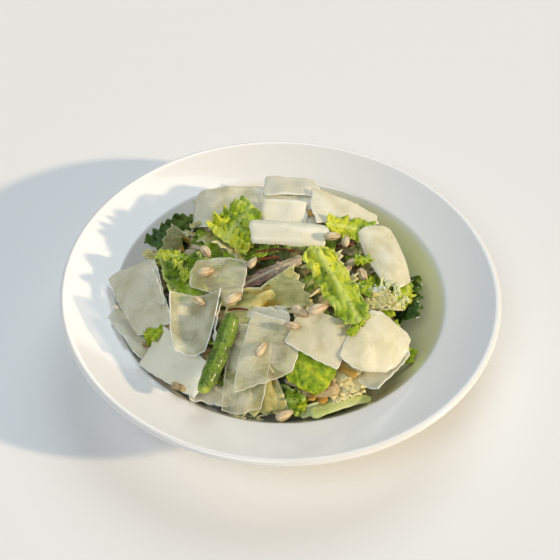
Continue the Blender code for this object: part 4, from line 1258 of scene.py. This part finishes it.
TRIM_FORMS = {
    # The end's width as a share of the width, and the rest of the sheet's form
    "cheese": (0.75, dict(bend=-14, ruffle=0.5, thickness=0.9, ragged=0.3, wavy=0.5, thin_edge=0.4)),
    "strand": (0.35, dict(bend=-40, ruffle=0.5, rounding=0.2, cup=50, thickness=0.9, ragged=0.3,
                          frill=0.3, thin_edge=0.4)),
    "rib": (0.7, dict(bend=-20, thickness=1.6, ragged=0.2, wavy=0.4, thin_edge=0.4)),
    "frill": (0.6, dict(bend=-60, ruffle=2.4, waves=5, frill=1.0, puff=0.5, thickness=LEAF_THICKNESS,
                        ragged=0.5, thin_edge=0.35)),
    "leaf": (0.4, dict(bend=-25, ruffle=1.2, thickness=LEAF_THICKNESS, ragged=0.6, frill=0.8, puff=0.8,
                       thin_edge=0.35)),
    "pasta": (0.8, dict(bend=-20, ruffle=1.0, waves=4, thickness=1.3, ragged=0.3, thin_edge=0.5)),
    "cream": (0.8, dict(bend=-20, ruffle=1.0, waves=4, thickness=1.3, ragged=0.3, thin_edge=0.5)),
    "onion": (0.7, dict(bend=-35, cup=60, thickness=0.9, thin_edge=0.5)),
}
TRIM_CLEARNESS = 0.35


def trimming(kind, length, width, seed):
    """One small piece of a kind, lying along X."""
    if kind == "amber":
        return spindle(length, 0.5 * width * np.sin(np.linspace(0, math.pi, 18)[1:-1]) ** 0.6,
                       sides=20, flatten=0.35, swell=lambda place, turn: 1 + 0.1 * np.sin(place * 9 + seed))
    if kind == "chicken":
        return torn_chicken(length, width, 0.7 * width, seed, steps=18)
    end_share, form = TRIM_FORMS[kind]
    shape = sheet(length, width, end_share * width, grid=(30, 14), fine=True, seed=seed, **form)
    if kind == "cheese":
        shape.paint("clear", TRIM_CLEARNESS)
    # Painted light: the cream pieces' mark pales them to cream
    if kind == "cream":
        shape.paint("tone", -1.0)
    return shape


class SALAD_OT_trimmings(bpy.types.Operator):
    """Lay the small offcuts, strands and shreds between the large pieces"""
    bl_idname = "salad.trimmings"
    bl_label = "Trimmings"

    def execute(self, context):
        leaves = context.scene.salad_leaves
        leaf_finish("red strand", leaves, leaves.red, leaves.red, leaves.purple, leaves.red, veined=0.0)
        Finish("soft fried onion", Roughness=0.3, Subsurface_Weight=0.3, Subsurface_Scale=0.002,
               Base_Color=(*context.scene.salad_morsels.amber, 1))
        for kind, (finish, slot, rows) in TRIMMINGS.items():
            shapes = [trimming(kind, length, width, seed).posed((x, y, z), turn)
                      for seed, (x, y, z, *turn, length, width) in enumerate(rows)]
            put(f"{kind}_trimmings", joined(shapes), bpy.data.materials[finish], slot)
        return {"FINISHED"}


# The middle x, y and the radius of where they fall, in millimetres
HERB_REACH = (-2, -5, 84)
CRUMB_REACH = (66, -12, 28)
FLECK_SIZE = 0.9
DROP_HEIGHT = 120
# The upward part of the steepest surface's normal on which they stay
STEEPEST = 0.25


def sprinkled(total, seed, reach, skip):
    """Small flat flecks laid on what shows from above, each along the surface that it lies on."""
    rng = np.random.default_rng(seed)
    graph = bpy.context.evaluated_depsgraph_get()
    flecks = []
    while len(flecks) < total:
        angle, share = rng.uniform(0, 2 * math.pi), math.sqrt(rng.uniform(0, 1))
        start = Vector((reach[0] + reach[2] * share * math.cos(angle),
                        reach[1] + reach[2] * share * math.sin(angle), DROP_HEIGHT)) * MM
        length, heading = FLECK_SIZE * rng.uniform(0.5, 1.3), rng.uniform(0, 360)
        hit, place, normal, _, piece, _ = bpy.context.scene.ray_cast(graph, start, (0, 0, -1))
        if not hit or piece.name.startswith(skip) or normal.z < STEEPEST:
            continue
        shape = spindle(length, [0.3 * length, 0.42 * length, 0.3 * length], sides=6, flatten=0.4)
        lean = Vector((0, 0, 1)).rotation_difference(normal).to_matrix()
        lift = (place + normal * 0.1 * FLECK_SIZE * MM) / MM
        flecks.append(shape.posed(turn=(heading, 0, 0)).moved(lean, lift))
    return joined(flecks)


class SALAD_OT_sprinkles(bpy.types.Operator):
    """Sprinkle chopped herbs and grated cheese over the salad"""
    bl_idname = "salad.sprinkles"
    bl_label = "Herbs and crumbs"

    def execute(self, context):
        look = context.scene.salad_heap
        leaves, cheese = context.scene.salad_leaves, context.scene.salad_cheese
        herb = Finish("chopped herb", Roughness=0.4, Base_Color=(*leaves.deep, 1))
        crumb = Finish("grated cheese", Roughness=0.5, Base_Color=(*cheese.edge, 1))
        herbs = sprinkled(look.flecks, 3, HERB_REACH, ("rimmed_plate", "shaving", "toasted", "cheese"))
        crumbs = sprinkled(look.crumbs, 4, CRUMB_REACH, ("rimmed_plate", "shaving"))
        put("herb_flecks", herbs, herb.material, "lettuce")
        put("cheese_crumbs", crumbs, crumb.material, "parmesan")
        return {"FINISHED"}


# ---------------------------------------------------------------- the stage

# Metres
FLOOR_HALF = 8.0
# How wide the lights look, and how much of the soft ones shows as shine
KEY_SPREAD = math.radians(2.5)
SOFT_SPREAD = math.radians(40)
SOFT_SHINE = 0.35
# Heading and height
FRONT_LIGHT = (math.radians(242), math.radians(54))
SIDE_LIGHT = (math.radians(75), math.radians(50))
CAMERA_HEIGHT = math.radians(46.13)
CAMERA_ROLL = math.radians(1.42)
# Millimetres
CAMERA_DISTANCE = 600
AIM_ASIDE = -0.63
AIM_UP = -2.06


class SALAD_OT_stage(bpy.types.Operator):
    """Make the floor, the lights and the camera"""
    bl_idname = "salad.stage"
    bl_label = "Stage"

    def execute(self, context):
        look = context.scene.salad_stage
        floor_finish = Finish("pale floor", Roughness=0.7, Base_Color=(*look.floor, 1))
        mesh = bpy.data.meshes.new("floor")
        mesh.from_pydata([(FLOOR_HALF * x, FLOOR_HALF * y, 0) for x, y in
                          ((-1, -1), (1, -1), (1, 1), (-1, 1))], [], [(0, 1, 2, 3)])
        mesh.materials.append(floor_finish.material)
        floor = bpy.data.objects.new("floor", mesh)
        context.scene.collection.objects.link(floor)
        world = bpy.data.worlds.new("room")
        world.use_nodes = True
        sky = world.node_tree.nodes["Background"]
        sky.inputs["Color"].default_value = (*look.sky, 1)
        sky.inputs["Strength"].default_value = look.sky_strength
        context.scene.world = world
        self.light(context, "key light", look.sun, look.sun_strength, (look.sun_heading, look.sun_height),
                   KEY_SPREAD, 1.0)
        self.light(context, "front light", look.sky, look.front_strength, FRONT_LIGHT, SOFT_SPREAD,
                   SOFT_SHINE)
        self.light(context, "side light", look.sky, look.side_strength, SIDE_LIGHT, SOFT_SPREAD,
                   SOFT_SHINE)
        self.camera(context, look)
        context.scene.view_settings.view_transform = "Standard"
        return {"FINISHED"}

    def light(self, context, name, colour, strength, direction, spread, shine):
        """A far light; spread is how wide it looks from the plate, and so how soft its shadows are."""
        lamp = bpy.data.lights.new(name, "SUN")
        lamp.energy, lamp.color, lamp.angle, lamp.specular_factor = strength, colour, spread, shine
        light = bpy.data.objects.new(name, lamp)
        heading, height = direction
        level = math.cos(height)
        towards = Vector((level * math.cos(heading), level * math.sin(heading), math.sin(height)))
        light.rotation_euler = towards.to_track_quat("Z", "Y").to_euler()
        context.scene.collection.objects.link(light)

    def camera(self, context, look):
        """Seen from the front and above, looking near the rim's middle, with a slight roll."""
        middle = Vector((0, 0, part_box("plate")[1].z))
        back = Vector((0, -math.cos(CAMERA_HEIGHT), math.sin(CAMERA_HEIGHT)))
        up = Vector((0, math.sin(CAMERA_HEIGHT), math.cos(CAMERA_HEIGHT)))
        aim = middle + Vector((AIM_ASIDE, 0, 0)) * MM + up * AIM_UP * MM
        data = bpy.data.cameras.new("camera")
        data.lens = look.lens
        camera = bpy.data.objects.new("camera", data)
        camera.location = middle + back * CAMERA_DISTANCE * MM
        view = (camera.location - aim).to_track_quat("Z", "Y")
        camera.rotation_euler = (view @ Matrix.Rotation(CAMERA_ROLL, 3, "Z").to_quaternion()).to_euler()
        context.scene.collection.objects.link(camera)
        context.scene.camera = camera


# ---------------------------------------------------------------- the add-on

GROUPS = {"salad_plate": SaladPlate, "salad_cheese": SaladCheese, "salad_leaves": SaladLeaves,
          "salad_pasta": SaladPasta, "salad_morsels": SaladMorsels, "salad_heap": SaladHeap,
          "salad_stage": SaladStage}
STEPS = (SALAD_OT_plate, SALAD_OT_shavings, SALAD_OT_leaves, SALAD_OT_bows, SALAD_OT_morsels,
         SALAD_OT_heap, SALAD_OT_trimmings, SALAD_OT_sprinkles, SALAD_OT_stage)


class SALAD_PT_panel(bpy.types.Panel):
    """Lists the pieces of the salad"""
    bl_label = "Chicken Pasta Salad"
    bl_idname = "SALAD_PT_panel"
    bl_space_type = "VIEW_3D"
    bl_region_type = "UI"
    bl_category = "Salad"

    def draw(self, context):
        for step in STEPS:
            self.layout.operator(step.bl_idname)
        for group in GROUPS:
            box = self.layout.box()
            for name in getattr(context.scene, group).bl_rna.properties.keys():
                if name not in ("name", "rna_type"):
                    box.prop(getattr(context.scene, group), name)


def register():
    for made in (*GROUPS.values(), *STEPS, SALAD_PT_panel):
        bpy.utils.register_class(made)
    for name, group in GROUPS.items():
        setattr(bpy.types.Scene, name, PointerProperty(type=group))


def unregister():
    for name in GROUPS:
        delattr(bpy.types.Scene, name)
    for made in (SALAD_PT_panel, *reversed(STEPS), *GROUPS.values()):
        bpy.utils.unregister_class(made)


def main():
    register()
    for step in STEPS:
        group, name = step.bl_idname.split(".")
        getattr(getattr(bpy.ops, group), name)()


if __name__ == "__main__":
    main()
